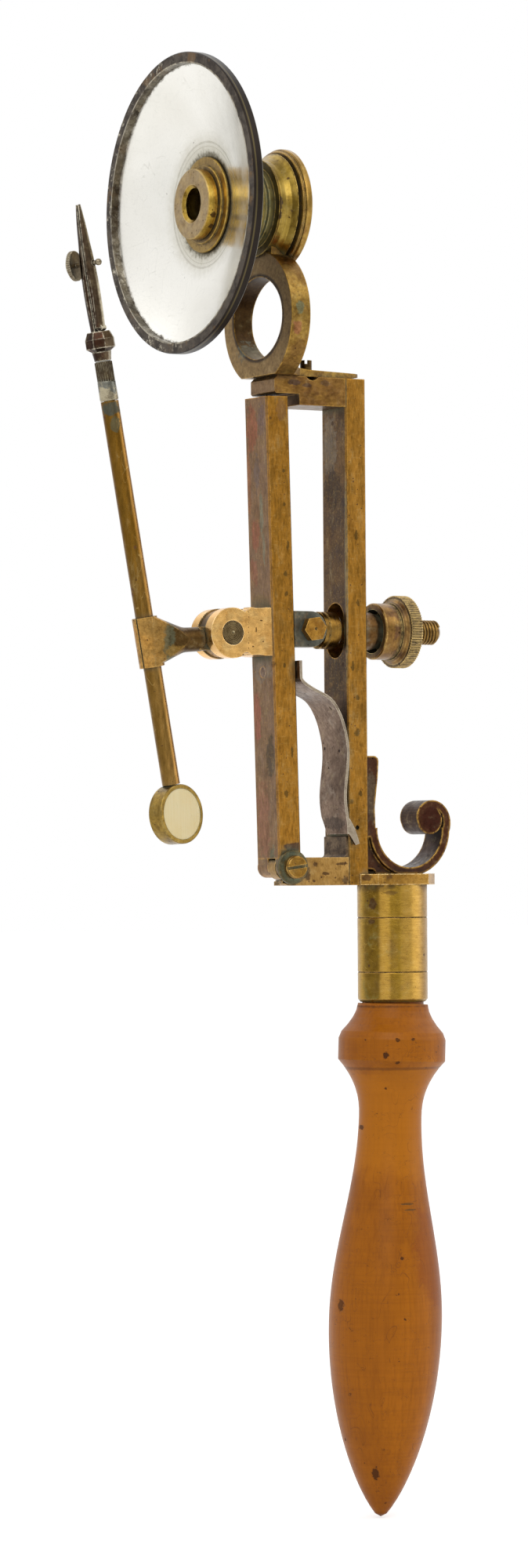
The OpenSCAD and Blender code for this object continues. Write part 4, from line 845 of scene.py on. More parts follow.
class MICROSCOPE_OT_carrier(PieceOperator, bpy.types.Operator):
    """Ring that carries the lens head: brown-grey face, a dark inside that is partly patina and partly
    painted shade, golden olive outside with a painted lighter top
    """
    bl_idname = "microscope.carrier"
    bl_label = "Lens carrier"

    def execute(self, context):
        c = self.tones
        ring = middle("lens_carrier")
        low = extent("lens_carrier")[0]
        centre = Vector((low.x + 1.45, 0, AXIS_Z - 14.9))
        f = Finish("carrier brass", "8E6C34", 0.32)
        f.patches("A98A44", 0.7, scale=0.28, high=0.64)
        f.patches("6E4E26", 0.7, scale=0.36, low=0.48, place=(8, 2, 6))
        s = f.sheet
        inside = s.vector("DIVIDE", s.vector("SUBTRACT", f.mm, tuple(centre)), (4.0, 6.75, 5.85))
        # The ring's inside painted dark: partly brown patina, partly painted shade
        inner_patina_and_shade = s.ramp(s.length(s.vector("MULTIPLY", inside, (0.0, 1.0, 1.0))), 1.06, 0.99)
        f.facing((-1, 0, 0), "8A7048", 0.95, cloud=0.6, rough=0.4)
        f.paint(inner_patina_and_shade, "2C1F15", 0.95, rough=0.45)
        f.blot((centre.x, 3.6, centre.z - 4.0), (2.2, 2.6, 1.8), "7E8A80", 0.55, ragged=0.6, grain=1.6,
               rough=0.7)
        f.blot((centre.x, -6.0, centre.z - 0.5), (2.0, 1.5, 4.5), "5A4428", 0.6, ragged=0.4)
        f.blot((-19.4, -9.0, 85.5), (0.75, 0.9, 0.9), "747A5E", 0.8, ragged=0.45, grain=1.8)
        f.blot((-19.8, -8.8, 82.8), (0.8, 1.0, 1.0), "9A5E4A", 0.6, ragged=0.4, grain=1.3)
        f.blot((-19.0, -7.5, 80.2), (1.2, 1.4, 1.3), "7A5A30", 0.7, ragged=0.4)
        f.blot((-19.6, -5.5, 92.4), (1.6, 2.0, 1.2), "8C5022", 0.6, grain=1.0)
        # Upward faces painted lighter: painted light from above
        f.facing((0, 0, 1), "9A7844", 0.4)
        f.grain("4A3418", 0.5, scale=2.2, height=0.006)
        f.pits(c.brown, 0.8, scale=1.3, size=0.26, cover=0.35)
        f.mottle()
        f.dirt_and_shade("33281A", 0.9, distance=1.1, gain=1.4)
        f.edges("C69A44", 0.9, radius=0.28)
        f.polish(0.26, 0.46)
        f.done("lens_carrier", soften=0.2)

        f = Finish("carrier screw brass", "6E5428", 0.4)
        f.patches("3E2E1C", 0.8, scale=1.2, high=0.6, place=tuple(ring))
        f.grain("2A2014", 0.5, scale=4.0, height=0.006)
        f.mottle()
        f.edges("C09A50", 0.7)
        f.done("carrier_screw", soften=0.08)
        return {"FINISHED"}


class MICROSCOPE_OT_barrel(PieceOperator, bpy.types.Operator):
    """Lens barrel and its rim in aged brass, the blackened stop and the clear lens"""
    bl_idname = "microscope.barrel"
    bl_label = "Lens barrel"

    def execute(self, context):
        c = self.tones
        edge_x = extent("lens_barrel")[1].x
        f = Finish("barrel brass", "94792E", 0.3)
        f.patches("B5984A", 0.75, low=0.38, high=0.62)
        f.patches("6C5428", 0.6, scale=0.4, low=0.5, high=0.68, place=(6, 1, 2))
        s = f.sheet
        flat = s.vector("MULTIPLY", f.mm, (1.0, 0.0, 0.0))
        for back, wide, tint, share in (
            (4.4, 1.5, "6E6A42", 0.75), (3.0, 0.3, "2E2616", 0.7), (0.25, 0.32, "2A241A", 0.9),
            (3.9, 0.25, "8A9480", 0.6),
        ):
            off = s.length(s.vector("SUBTRACT", flat, (edge_x - back, 0, 0)))
            f.paint(s.ramp(off, wide, wide * 0.6), tint, share, rough=0.45)
        f.turned((0, 90, 0), "4E3C18", 0.35)
        f.pits(c.brown, 0.85, scale=1.2, size=0.28, cover=0.45, height=-0.015)
        f.blot((-20.85, -6.95, 99.8), (0.5, 1.3, 1.3), "3E2E28", 1.0, ragged=0.2, grain=2.0, rough=0.55)
        f.blot((-20.8, -6.8, 98.1), (0.4, 1.3, 0.8), "46342C", 1.0, ragged=0.25, grain=2.0, rough=0.55)
        f.blot((-20.6, -5.0, 94.6), (0.9, 1.3, 0.9), "9A5A1E", 0.8)
        f.blot((-22.0, -4.4, 95.2), (0.9, 1.3, 0.8), "55583E", 0.7)
        f.mottle()
        f.dirt_and_shade("5A5A3E", 0.9, distance=1.3, gain=1.6)
        f.edges("D2AE58", 0.85, radius=0.24)
        f.polish(0.22, 0.4, 1.4)
        f.done("lens_barrel")

        f = Finish("rim brass", "8E6E34", 0.28)
        f.patches("B08E48", 0.7, scale=0.34, high=0.64)
        f.patches("6A4630", 0.7, low=0.48, place=(3, 5, 1))
        f.turned((0, 90, 0), "4E3A18", 0.35)
        f.pits(c.brown, 0.8, size=0.26, cover=0.3, height=-0.012)
        f.mottle()
        f.dirt_and_shade("2E2616", 0.9, distance=0.9, gain=1.6)
        f.edges("D8B464", 0.85, radius=0.16)
        f.done("barrel_cap")

        f = Finish("stop black", "1C1712", 0.6)
        f.patches("3A2A18", 0.6, scale=1.1, low=0.5)
        f.grain("0C0A08", 0.5, scale=4.0, height=0.003)
        f.edges("7A5C30", 0.5, radius=0.1)
        f.done("lens_stop", soften=0.06)

        glass = Finish("lens glass", "EAF2F2", 0.03, 0.0)
        glass.raise_by(glass.sheet.times(glass.sheet.noise(glass.mm, 0.6, 2.0), 0.0015))
        glass.shader.inputs["Transmission Weight"].default_value = 1.0
        glass.shader.inputs["IOR"].default_value = 1.52
        glass.polish(0.015, 0.05, 1.0)
        glass.done("lens", soften=0)
        return {"FINISHED"}


class MICROSCOPE_OT_reflector(PieceOperator, bpy.types.Operator):
    """Silvered bowl: hazy mirror with soft smears that are partly tarnish and partly a painted reflection
    gradient, tarnish round the nose, worn border, dark steel-brown rim
    """
    bl_idname = "microscope.reflector"
    bl_label = "Reflector"

    def execute(self, context):
        low, high = extent("reflector")
        outer = (high.z - low.z) / 2
        # Width of the turned rim round the silvered bowl, in mm
        rim_width = 1.5
        bowl = outer - rim_width
        f = Finish("silvered metal", self.tones.silver, 0.16)
        s = f.sheet
        radius = f.away((0, 0, AXIS_Z), (0, 1, 1))
        depth = s.part(f.mm, 0)
        f.patches("DDDAD0", 0.6, scale=0.06, low=0.3, high=0.75, detail=2.0)
        # Soft smears, greyest at the upper right: partly tarnish, partly a painted reflection gradient
        for y, up, wide, tall, tint, share in (
            (-7.5, 9.0, 8.0, 9.5, "969486", 0.85), (-13.0, 2.0, 6.0, 9.0, "AEA276", 0.75),
            (-9.0, -10.5, 4.5, 9.0, "B4B09C", 0.65), (10.0, 4.0, 9.0, 14.0, "DCDEDC", 0.5),
        ):
            off = s.vector("SUBTRACT", f.mm, (0, y, AXIS_Z + up))
            away = s.length(s.vector("DIVIDE", off, (40, wide, tall)))
            streaked = s.ramp(s.noise(f.at((1, 1.6, 0.5), (28, 0, 0)), 0.5, 4.0, 0.6), 0.2, 0.8, 0.6, 1.0)
            f.paint(s.times(s.ramp(away, 1.15, 0.1), streaked), tint, share)
        f.hairs("A09C90", 0.2, scale=0.16, width=0.004, over=(1, 2.5, 0.7), turn=(30, 0, 0))
        f.hairs("B4B0A2", 0.22, scale=0.3, amount=0.7, width=0.006, over=(1, 0.5, 2.5), turn=(-24, 0, 0))
        torn = s.times(s.minus(s.noise(f.mm, 1.5, 6.0, 0.75), 0.5), 2.6)
        near_nose = s.math("ADD", radius, torn)
        f.paint(s.ramp(near_nose, 10.6, 7.0), "ABA48C", 0.55, rough=0.35)
        f.paint(s.ramp(near_nose, 7.6, 6.5), "5E5640", 0.9, rough=0.5)
        outward = s.add("ShaderNodeCombineXYZ", {0: radius, 1: 0.0, 2: 0.0}).outputs[0]
        rings = s.ramp(s.noise(outward, 2.2, 3.0, 0.7), 0.5, 0.7)
        f.paint(s.times(rings, s.ramp(near_nose, 9.6, 8.2)), "7A745E", 0.7, rough=0.45)
        f.pits("6E6A60", 0.7, scale=0.42, size=0.09, cover=0.3, rough=0.4, height=-0.004)
        f.pits("A86A50", 0.4, scale=0.3, size=0.06, cover=0.22, rough=0.3, height=0.0)
        worn = s.math("ADD", radius, s.times(s.minus(s.noise(f.mm, 0.9, 6.0, 0.8), 0.5), 1.5))
        border = s.ramp(worn, bowl - 0.3, bowl + 0.05)
        to_left = s.ramp(s.part(f.mm, 1), -6.0, 6.0)
        f.paint(s.times(border, to_left), "3E3018", 0.9, rough=0.5)
        f.paint(s.times(border, s.minus(1.0, to_left)), "8E8A78", 0.55)
        flecks = s.times(s.ramp(s.noise(f.at(place=(9, 2, 4)), 1.8, 5.0, 0.8), 0.56, 0.66), border)
        f.paint(s.times(flecks, to_left), "EAE4D4", 0.9, rough=0.25)
        rim = s.ramp(radius, bowl - 0.06, bowl + 0.04)
        f.paint(rim, "51483E", 1.0, rough=0.34)
        rim_stain = s.ramp(s.noise(f.mm, 0.45, 6.0, 0.75), 0.42, 0.6)
        f.paint(s.times(rim, rim_stain), "2E2620", 0.9, rough=0.42)
        brown = s.ramp(s.noise(f.at(place=(1, 8, 3)), 0.3, 5.0, 0.7), 0.54, 0.66)
        f.paint(s.times(rim, brown), "6E5434", 0.7, rough=0.38)
        silver_left = s.ramp(s.noise(f.at(place=(5, 5, 5)), 0.8, 6.0, 0.8), 0.56, 0.64)
        f.paint(s.times(s.times(rim, silver_left), to_left), "C4BBA6", 0.8, rough=0.28)
        line = s.ramp(s.gap(radius, bowl + 0.1), 0.14, 0.05)
        broken = s.ramp(s.noise(f.mm, 0.6, 4.0, 0.7), 0.35, 0.6)
        f.paint(s.times(line, broken), "C9C0AA", 0.7, rough=0.26)
        side = s.ramp(radius, outer - 0.16, outer - 0.06)
        f.paint(side, "2A2522", 0.95, rough=0.4)
        olive = s.ramp(s.gap(depth, low.x + 0.42), 0.16, 0.08)
        f.paint(s.times(olive, side), "5C5238", 0.8)
        behind = s.group("facing", Direction=(1.0, 0.0, 0.0), From=0.2, To=0.5)
        f.paint(behind, "8A8676", 0.9, rough=0.38)
        f.paint(s.times(behind, s.ramp(s.noise(f.mm, 0.25, 5.0, 0.65), 0.42, 0.62)), "5A5040", 0.8,
                rough=0.45)
        f.grain("3A342C", 0.12, low=0.5, high=0.8, height=0.0008)
        f.polish(0.17, 0.26, 0.35)
        f.done("reflector", soften=0.1)
        return {"FINISHED"}


class MICROSCOPE_OT_nose(PieceOperator, bpy.types.Operator):
    """Nose piece and the stepped ring round it: matte brown face, a yellow side with a painted highlight,
    dark nicks, and painted shade deep in the bore
    """
    bl_idname = "microscope.nose"
    bl_label = "Nose piece"

    def execute(self, context):
        c = self.tones
        low = extent("objective_nose")[0]
        f = Finish("nose brass", "CCA444", 0.24)
        f.patches("DDB850", 0.7, scale=0.5, high=0.6)
        f.patches("7A5E24", 0.6, scale=0.9, low=0.52, high=0.68, place=(2, 2, 2))
        # A painted highlight on the side that faces the front
        f.facing((0.2, -0.98, 0), "F2CC62", 0.9, low=0.8, high=0.97, cloud=0.4, rough=0.2)
        f.facing((-1, 0, 0), "A69272", 1.0, low=0.5, high=0.85, cloud=0.9, rough=0.42)
        s = f.sheet
        bore = f.away((0, 0, AXIS_Z), (0, 1, 1))
        depth = s.part(f.mm, 0)
        chamfer = s.times(s.ramp(bore, 2.75, 2.6), s.ramp(depth, low.x + 0.02, low.x + 0.08))
        f.paint(chamfer, "A88A30", 0.9, rough=0.25)
        # The bore's wall painted dark from 0.5 mm in: painted shade
        deep = s.ramp(depth, low.x + 0.5, low.x + 2.2)
        f.paint(s.times(deep, s.ramp(bore, 3.0, 2.9)), "2A1E10", 0.95, rough=0.6)
        f.turned((0, 90, 0), "7A5E28", 0.3)
        f.grain("6A5030", 0.35, scale=2.6)
        f.pits(c.brown, 0.85, cover=0.3)
        f.blot((low.x + 0.9, -4.3, AXIS_Z - 1.9), (0.5, 0.8, 0.4), c.brown, 0.9, grain=2.5)
        f.blot((low.x + 1.1, -3.4, AXIS_Z - 3.3), (0.4, 0.8, 0.3), c.brown, 0.9, grain=2.5)
        f.mottle()
        f.dirt_and_shade("4E3A16", 0.8, distance=0.5, gain=1.6)
        f.edges("E8CE80", 0.85, radius=0.16)
        f.done("objective_nose", soften=0.1)

        f = Finish("flange brass", "A08034", 0.3)
        f.patches("C8A448", 0.7, scale=0.6, low=0.42, high=0.62)
        f.patches("6A4A24", 0.7, scale=0.8, low=0.5, place=(7, 7, 1))
        f.facing((-1, 0, 0), "86704A", 0.7, low=0.6, high=0.95, cloud=1.2)
        f.grain("5A4420", 0.4, height=0.005)
        f.pits(c.brown, 0.85, scale=2.0, cover=0.35)
        f.mottle()
        f.dirt_and_shade("3A3020", 1.0, distance=0.8, gain=1.8)
        f.edges("DDBE70", 0.8)
        f.done("reflector_flange", soften=0.08)
        return {"FINISHED"}


class MICROSCOPE_OT_focusing(PieceOperator, bpy.types.Operator):
    """Focusing screw with its cut thread, the grey lug, its bolt and the collar behind the bar"""
    bl_idname = "microscope.focusing"
    bl_label = "Focusing screw"

    def execute(self, context):
        c = self.tones
        f = Finish("screw brass", "9A7432", 0.3)
        f.patches("7A5A28", 0.7, scale=0.4, low=0.42, high=0.62)
        f.patches("584030", 0.9, scale=0.8, low=0.58, place=(2, 5, 9))
        f.turned((0, 90, 0), "4A3416", 0.4)
        f.grain("4A3416", 0.35, scale=2.6)
        f.pits(c.brown, 0.8, scale=1.4)
        f.mottle()
        f.dirt_and_shade("4A4C38", 0.85, distance=0.8, gain=1.6)
        f.edges("D0A450", 0.85, radius=0.18)
        f.done("focus_screw")

        f = Finish("thread brass", "8A6A36", 0.36)
        s = f.sheet
        away = f.away((0, 0, FOCUS_Z), (0, 1, 1))
        f.paint(s.ramp(away, 1.66, 1.54), "2E2210", 0.9, rough=0.6)
        f.patches("A88448", 0.6, scale=0.6, low=0.44, high=0.62)
        f.grain("3E2E16", 0.4)
        f.mottle()
        f.edges("C8A45C", 0.6, radius=0.1)
        self.thread(context.scene.microscope_thread, f.done(soften=0.05))

        f = Finish("lug grey", "6C6A5C", 0.4)
        f.patches("565248", 0.8, scale=0.5, low=0.42, high=0.6)
        f.patches("8A6A44", 0.6, scale=0.6, low=0.52, place=(5, 2, 1))
        f.grain("35312A", 0.5, height=0.008)
        f.pits("2A241E", 0.85, scale=1.5, cover=0.45, height=-0.03)
        f.mottle()
        f.dirt_and_shade("485048", 0.9, distance=1.6, gain=1.8)
        f.edges("ACA48E", 0.6, radius=0.14)
        f.done("screw_lug", soften=0.1)

        f = Finish("bolt brass", "C08E3C", 0.28)
        f.patches("8A5C26", 0.7, scale=0.7, low=0.42, high=0.62)
        f.grain("5A3C16", 0.4, height=0.005)
        f.pits(c.brown, 0.85, scale=1.8)
        f.mottle()
        f.dirt_and_shade("4A4430", 0.9, distance=0.7, gain=1.8)
        f.edges("E0B464", 0.85, radius=0.14)
        f.done("lug_bolt", soften=0.1)

        f = Finish("collar brass", "6A4C2A", 0.36)
        f.patches("8E7C64", 0.6, scale=0.6, low=0.48, high=0.64)
        f.grain("3A2A18", 0.45, height=0.005)
        f.pits("2E2014", 0.85)
        f.mottle()
        f.dirt_and_shade("56604E", 0.9, distance=1.0, gain=1.6)
        f.edges("C09A56", 0.7)
        f.done("thrust_collar", soften=0.1)
        return {"FINISHED"}

    def thread(self, sizes, material):
        """A helical rib, spun round the screw's axis"""
        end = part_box("focus_screw")[1][0]
        start = end - sizes.length
        # Turns left uncut at the ends
        plain_turns = 1.4
        total = int((sizes.length / sizes.pitch - plain_turns) * sizes.steps)
        half = sizes.pitch / 2
        shoulder = sizes.crest - 0.02 * MM
        # Places along the axis in halves of the pitch, each with its radius
        outline = (
            (0, sizes.root), (0.62, shoulder), (1, sizes.crest), (1.38, shoulder), (1.92, sizes.root)
        )
        bm = bmesh.new()
        bm.faces.new([bm.verts.new((start + half * share, 0, FOCUS_Z * MM + r)) for share, r in outline])
        made = bmesh.ops.spin(
            bm, geom=bm.verts[:] + bm.edges[:] + bm.faces[:], cent=(0, 0, FOCUS_Z * MM), axis=(1, 0, 0),
            dvec=(sizes.pitch / sizes.steps, 0, 0), angle=math.tau * total / sizes.steps, steps=total,
            use_duplicate=False
        )
        if not made["geom_last"]:
            raise RuntimeError("the thread was not spun")
        bmesh.ops.holes_fill(bm, edges=[edge for edge in bm.edges if edge.is_boundary], sides=0)
        bmesh.ops.recalc_face_normals(bm, faces=bm.faces)
        mesh = bpy.data.meshes.new("focus_thread")
        bm.to_mesh(mesh)
        bm.free()
        for polygon in mesh.polygons:
            polygon.use_smooth = True
        mesh.materials.append(material)
        piece = new_object("focus_thread", mesh)
        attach(piece, "screw_link")


class MICROSCOPE_OT_nut(PieceOperator, bpy.types.Operator):
    """Focusing nut: brown sleeve, grey-green cup, a bright knurl with painted glints and painted shade in
    its valleys, and a painted shadow behind the flange
    """
    bl_idname = "microscope.nut"
    bl_label = "Focusing nut"

    def execute(self, context):
        low, high = extent("focus_nut")
        f = Finish("nut brass", "946E3C", 0.3)
        f.patches("A27C40", 0.8, scale=0.35, high=0.62)
        f.patches("6A4C3A", 0.8, scale=0.4, low=0.48, high=0.64, place=(2, 4, 8))
        s = f.sheet
        along = s.part(f.mm, 0)
        away = f.away((0, 0, FOCUS_Z), (0, 1, 1))
        # A darker band on the sleeve behind the flange: painted shadow
        painted_shadow_band = s.ramp(s.gap(along, high.x - 2.65), 0.5, 0.2)
        f.paint(painted_shadow_band, "4A3828", 0.8, rough=0.45)
        flange = s.ramp(along, high.x - 1.85, high.x - 1.7)
        f.paint(flange, "A39072", 0.7, rough=0.34)
        f.turned((0, 90, 0), "4A3418", 0.4)
        f.grain("46341C", 0.4, scale=2.4, height=0.005)
        f.pits("3A2618", 0.85, scale=1.3, cover=0.45)
        # The knurl's valleys painted dark: painted shade
        valley_shade = s.times(s.ramp(away, 4.93, 4.83), flange)
        f.paint(s.times(valley_shade, s.ramp(away, 4.6, 4.75)), "3A2A18", 0.85, rough=0.6)
        mouth = s.times(s.ramp(away, 3.2, 3.0), s.ramp(along, low.x + 2.4, low.x + 1.8))
        f.paint(mouth, "6A6E5E", 0.8, rough=0.6)
        f.mottle()
        # Dark crevice tint: painted shadow between the nut's parts, with some dirt
        f.dirt_and_shade("3A3826", 0.9, distance=1.8, gain=1.9)
        # Bright edges: rubbed brass with painted glints on the knurl
        f.edges("F0CC7C", 1.0, radius=0.18, gain=7.0)
        f.polish(0.24, 0.4, 1.4)
        f.done("focus_nut", soften=0.07)
        return {"FINISHED"}


class MICROSCOPE_OT_compass_joint(PieceOperator, bpy.types.Operator):
    """Compass joint: fork polished rose gold with black pits, dark steel pin"""
    bl_idname = "microscope.compass_joint"
    bl_label = "Compass joint"

    def execute(self, context):
        pin = middle("compass_pin")
        f = Finish("polished fork", "F6C272", 0.18)
        f.patches("D09A50", 0.7, low=0.44)
        f.patches("F2CC86", 0.6, scale=0.35, low=0.5, high=0.7, place=(3, 3, 0))
        f.facing((-1, 0, 0), "A8844E", 0.6)
        f.grain("B07C38", 0.25, scale=1.6, over=(0.5, 1.0, 2.4), height=0.0015)
        f.hairs("A87A40", 0.4, scale=0.6)
        f.pits("3A2410", 0.95, size=0.2, cover=0.6, height=-0.03)
        f.pits("6A4420", 0.8, scale=3.0, size=0.22, cover=0.25)
        s = f.sheet
        dots = s.math("SINE", s.times(s.part(f.mm, 2), 9.0))
        seam = s.ramp(s.gap(s.part(f.mm, 0),
                                                pin.x + 2.35), 0.12, 0.04)
        f.paint(s.times(seam, s.ramp(dots, 0.1, 0.7)), "5A3A1C", 0.8, rough=0.5, height=-0.02)
        f.spots(-2.8, (
            (pin.x + 3.6, pin.z + 0.4, 0.1, 0.5), (pin.x + 4.4, pin.z + 1.7, 0.28, 0.13),
            (pin.x + 3.1, pin.z - 1.8, 0.16, 0.13), (pin.x + 4.7, pin.z - 1.1, 0.13, 0.13),
        ), "3A2410", 0.9, ragged=0.3, grain=3.0, rough=0.5, height=-0.04)
        f.mottle(dark=0.2, scale=1.4)
        f.dirt_and_shade("46402A", 1.0, gain=2.0)
        f.edges("F6DEB0", 0.8, radius=0.2)
        f.polish(0.15, 0.28, 1.0)
        f.done("compass_fork", soften=0.2)

        f = Finish("compass pin", "6E5C3E", 0.36)
        ring = f.sheet
        away = f.away(tuple(pin), (1, 0, 1))
        f.patches("4A3B26", 0.8, scale=0.9, high=0.6)
        circles = ring.math("SINE", ring.times(away, 26.0))
        f.paint(ring.ramp(circles, -0.2, 0.9), "96835C", 0.5, height=0.01)
        f.grain("2E2416", 0.4, scale=3.5, height=0.005)
        f.blot(tuple(pin + Vector((0.1, -2.8, 0.1))), (0.22, 0.4, 0.22), "C6B68E", 0.8, ragged=0.3)
        f.mottle()
        f.dirt_and_shade("1E160C", 1.0, distance=0.5, gain=2.0)
        f.edges("B09A68", 0.5)
        f.done("compass_pin", soften=0.1)
        return {"FINISHED"}


class MICROSCOPE_OT_specimen_arm(PieceOperator, bpy.types.Operator):
    """Waisted arm and split sleeve: dark waist, bright golden sleeve, green in the hollows"""
    bl_idname = "microscope.specimen_arm"
    bl_label = "Specimen arm"

    def execute(self, context):
        c = self.tones
        low, high = extent("specimen_arm")
        f = Finish("arm brass", "BE8E48", 0.28)
        f.patches("A88448", 0.7, scale=0.35, high=0.62)
        s = f.sheet
        along = s.part(f.mm, 0)
        waist = s.ramp(along, low.x + 3.4, low.x + 5.2)
        waist = s.times(waist, s.ramp(along, high.x - 4.6, high.x - 6.0))
        f.paint(waist, "43321C", 0.9, rough=0.4)
        f.blot((low.x + 4.6, -1.6, FOCUS_Z - 2.2), (1.0, 1.2, 3.2), "5E6450", 0.75, ragged=0.45,
               grain=1.2, rough=0.55)
        f.blot((low.x + 5.6, -1.8, FOCUS_Z - 3.2), (1.8, 1.2, 0.9), "A07C3C", 0.7, ragged=0.35)
        f.turned((0, -10.05, 0), "4E3816", 0.18, scale=2.4)
        f.grain("3E2C14", 0.45, scale=2.4, height=0.005)
        f.pits(c.brown, 0.8, scale=1.4)
        f.mottle()
        f.dirt_and_shade("5E6452", 0.9, distance=1.1)
        f.edges("CFA660", 0.8, radius=0.2)
        f.polish(0.26, 0.42)
        f.done("specimen_arm", soften=0.16)
        return {"FINISHED"}


class MICROSCOPE_OT_specimen_rod(PieceOperator, bpy.types.Operator):
    """Drawn rod: olive gold, darker above the sleeve, painted shade down its left side and a painted
    highlight on its right, a grey-green stain at the top; hidden steel pins
    """
    bl_idname = "microscope.specimen_rod"
    bl_label = "Specimen rod"

    def execute(self, context):
        c = self.tones
        f = Finish("rod brass", "A47C40", 0.26)
        f.patches("A98850", 0.7, scale=0.2, over=(1, 1, 0.3))
        f.patches("6A5022", 0.7, scale=0.16, low=0.44, high=0.64, over=(1, 1, 0.25), place=(4, 4, 4))
        f.patches("8C6A5A", 0.5, scale=0.25, low=0.54, high=0.7, over=(1, 1, 0.3), place=(9, 2, 4))
        s = f.sheet
        up = s.part(f.mm, 2)
        f.paint(s.ramp(up, 40.0, 56.0), "7C5614", 0.85)
        # By facing: painted shade down the left side, a painted highlight on the right
        f.facing((-0.93, -0.37, 0), "5E4418", 0.75, low=0.7, high=0.97, cloud=0.4)
        f.facing((0.6, -0.8, 0.1), "C8944E", 0.5, low=0.8, high=1.0)
        f.blot((-44.0, -0.9, 71.6), (1.3, 1.4, 1.1), "4A5048", 0.9, ragged=0.35, grain=1.0, rough=0.5)
        f.blot((-43.5, -1.1, 69.6), (0.7, 1.2, 1.4), "5A5C48", 0.75, grain=1.0, rough=0.5)
        f.grain("4A3814", 0.4, scale=2.4, over=(1.5, 1.5, 0.2), height=0.003)
        f.hairs("C8A868", 0.4, scale=0.7, amount=0.5, width=0.01, over=(1, 1, 0.3))
        f.pits(c.brown, 0.7, scale=1.1, size=0.24, cover=0.3, height=-0.012)
        f.pits("5A3C2E", 0.7, scale=0.7, cover=0.3, height=0.0)
        f.mottle(dark=0.3, light=0.25, scale=0.9, over=(1, 1, 0.3))
        f.dirt_and_shade("3E3A26", 0.8, distance=0.8, gain=1.4)
        f.edges("D0AC64", 0.6)
        f.polish(0.2, 0.34)
        f.done("specimen_rod", soften=0.08)

        f = Finish("tang steel", c.steel, 0.45)
        f.patches(c.rust, 0.8, scale=0.5, low=0.45, high=0.62)
        f.grain("2E2620", 0.5, height=0.01)
        f.pits("201612", 0.85, scale=1.4, cover=0.5)
        f.mottle()
        f.edges("A89A88", 0.6)
        f.done("handle_tang", "disc_pivot", soften=0.08)
        return {"FINISHED"}


class MICROSCOPE_OT_discs(PieceOperator, bpy.types.Operator):
    """Brass cup, pale ivory face and dark ebony face"""
    bl_idname = "microscope.discs"
    bl_label = "Disc cup"

    def execute(self, context):
        c = self.tones
        f = Finish("cup brass", "846A32", 0.28)
        f.patches("A4863E", 0.7, scale=0.4, high=0.62)
        f.patches("6A5628", 0.7, scale=0.5, low=0.48, place=(1, 3, 3))
        f.grain("54431E", 0.4, scale=2.4)
        f.pits(c.brown, 0.8, scale=1.4, size=0.28, height=-0.015)
        f.mottle()
        f.dirt_and_shade("5A6450", 0.85, distance=0.7)
        f.edges("C4B078", 0.8, radius=0.16)
        f.polish(0.22, 0.36)
        f.done("disc_cup")

        f = Finish("ivory", c.ivory, 0.3, 0.0)
        f.patches("D4BE84", 0.55, scale=0.25, high=0.7)
        f.grain("CDB67C", 0.45, scale=1.0, over=(5.0, 1.0, 0.12), turn=(0, 0, 15), height=0.001)
        f.hairs("A8925E", 0.5, amount=0.5, width=0.006, over=(3.0, 1.0, 0.3), height=-0.004)
        f.pits("B49A60", 0.4, scale=1.1, size=0.1, cover=0.3, height=-0.004)
        f.dirt_and_shade("7A7046", 0.9, distance=0.35, gain=1.6, rough=0.5, metal=0.0)
        f.polish(0.24, 0.36, 0.8)
        f.shader.inputs["Subsurface Weight"].default_value = 0.15
        f.shader.inputs["Subsurface Radius"].default_value = (0.001, 0.0007, 0.0004)
        f.shader.inputs["Subsurface Scale"].default_value = 0.5
        f.done("ivory_disc", soften=0.05)

        f = Finish("ebony", c.ebony, 0.32, 0.0)
        f.grain("3A2E26", 0.6, scale=1.4, over=(4.0, 1.0, 0.15), low=0.45, high=0.75, height=0.002)
        f.hairs("54463A", 0.5, scale=0.6, amount=0.5)
        f.pits("0A0706", 0.6, scale=1.4, size=0.14, height=-0.006)
        f.polish(0.26, 0.42, 0.8)
        f.done("ebony_disc", soften=0.05)
        return {"FINISHED"}


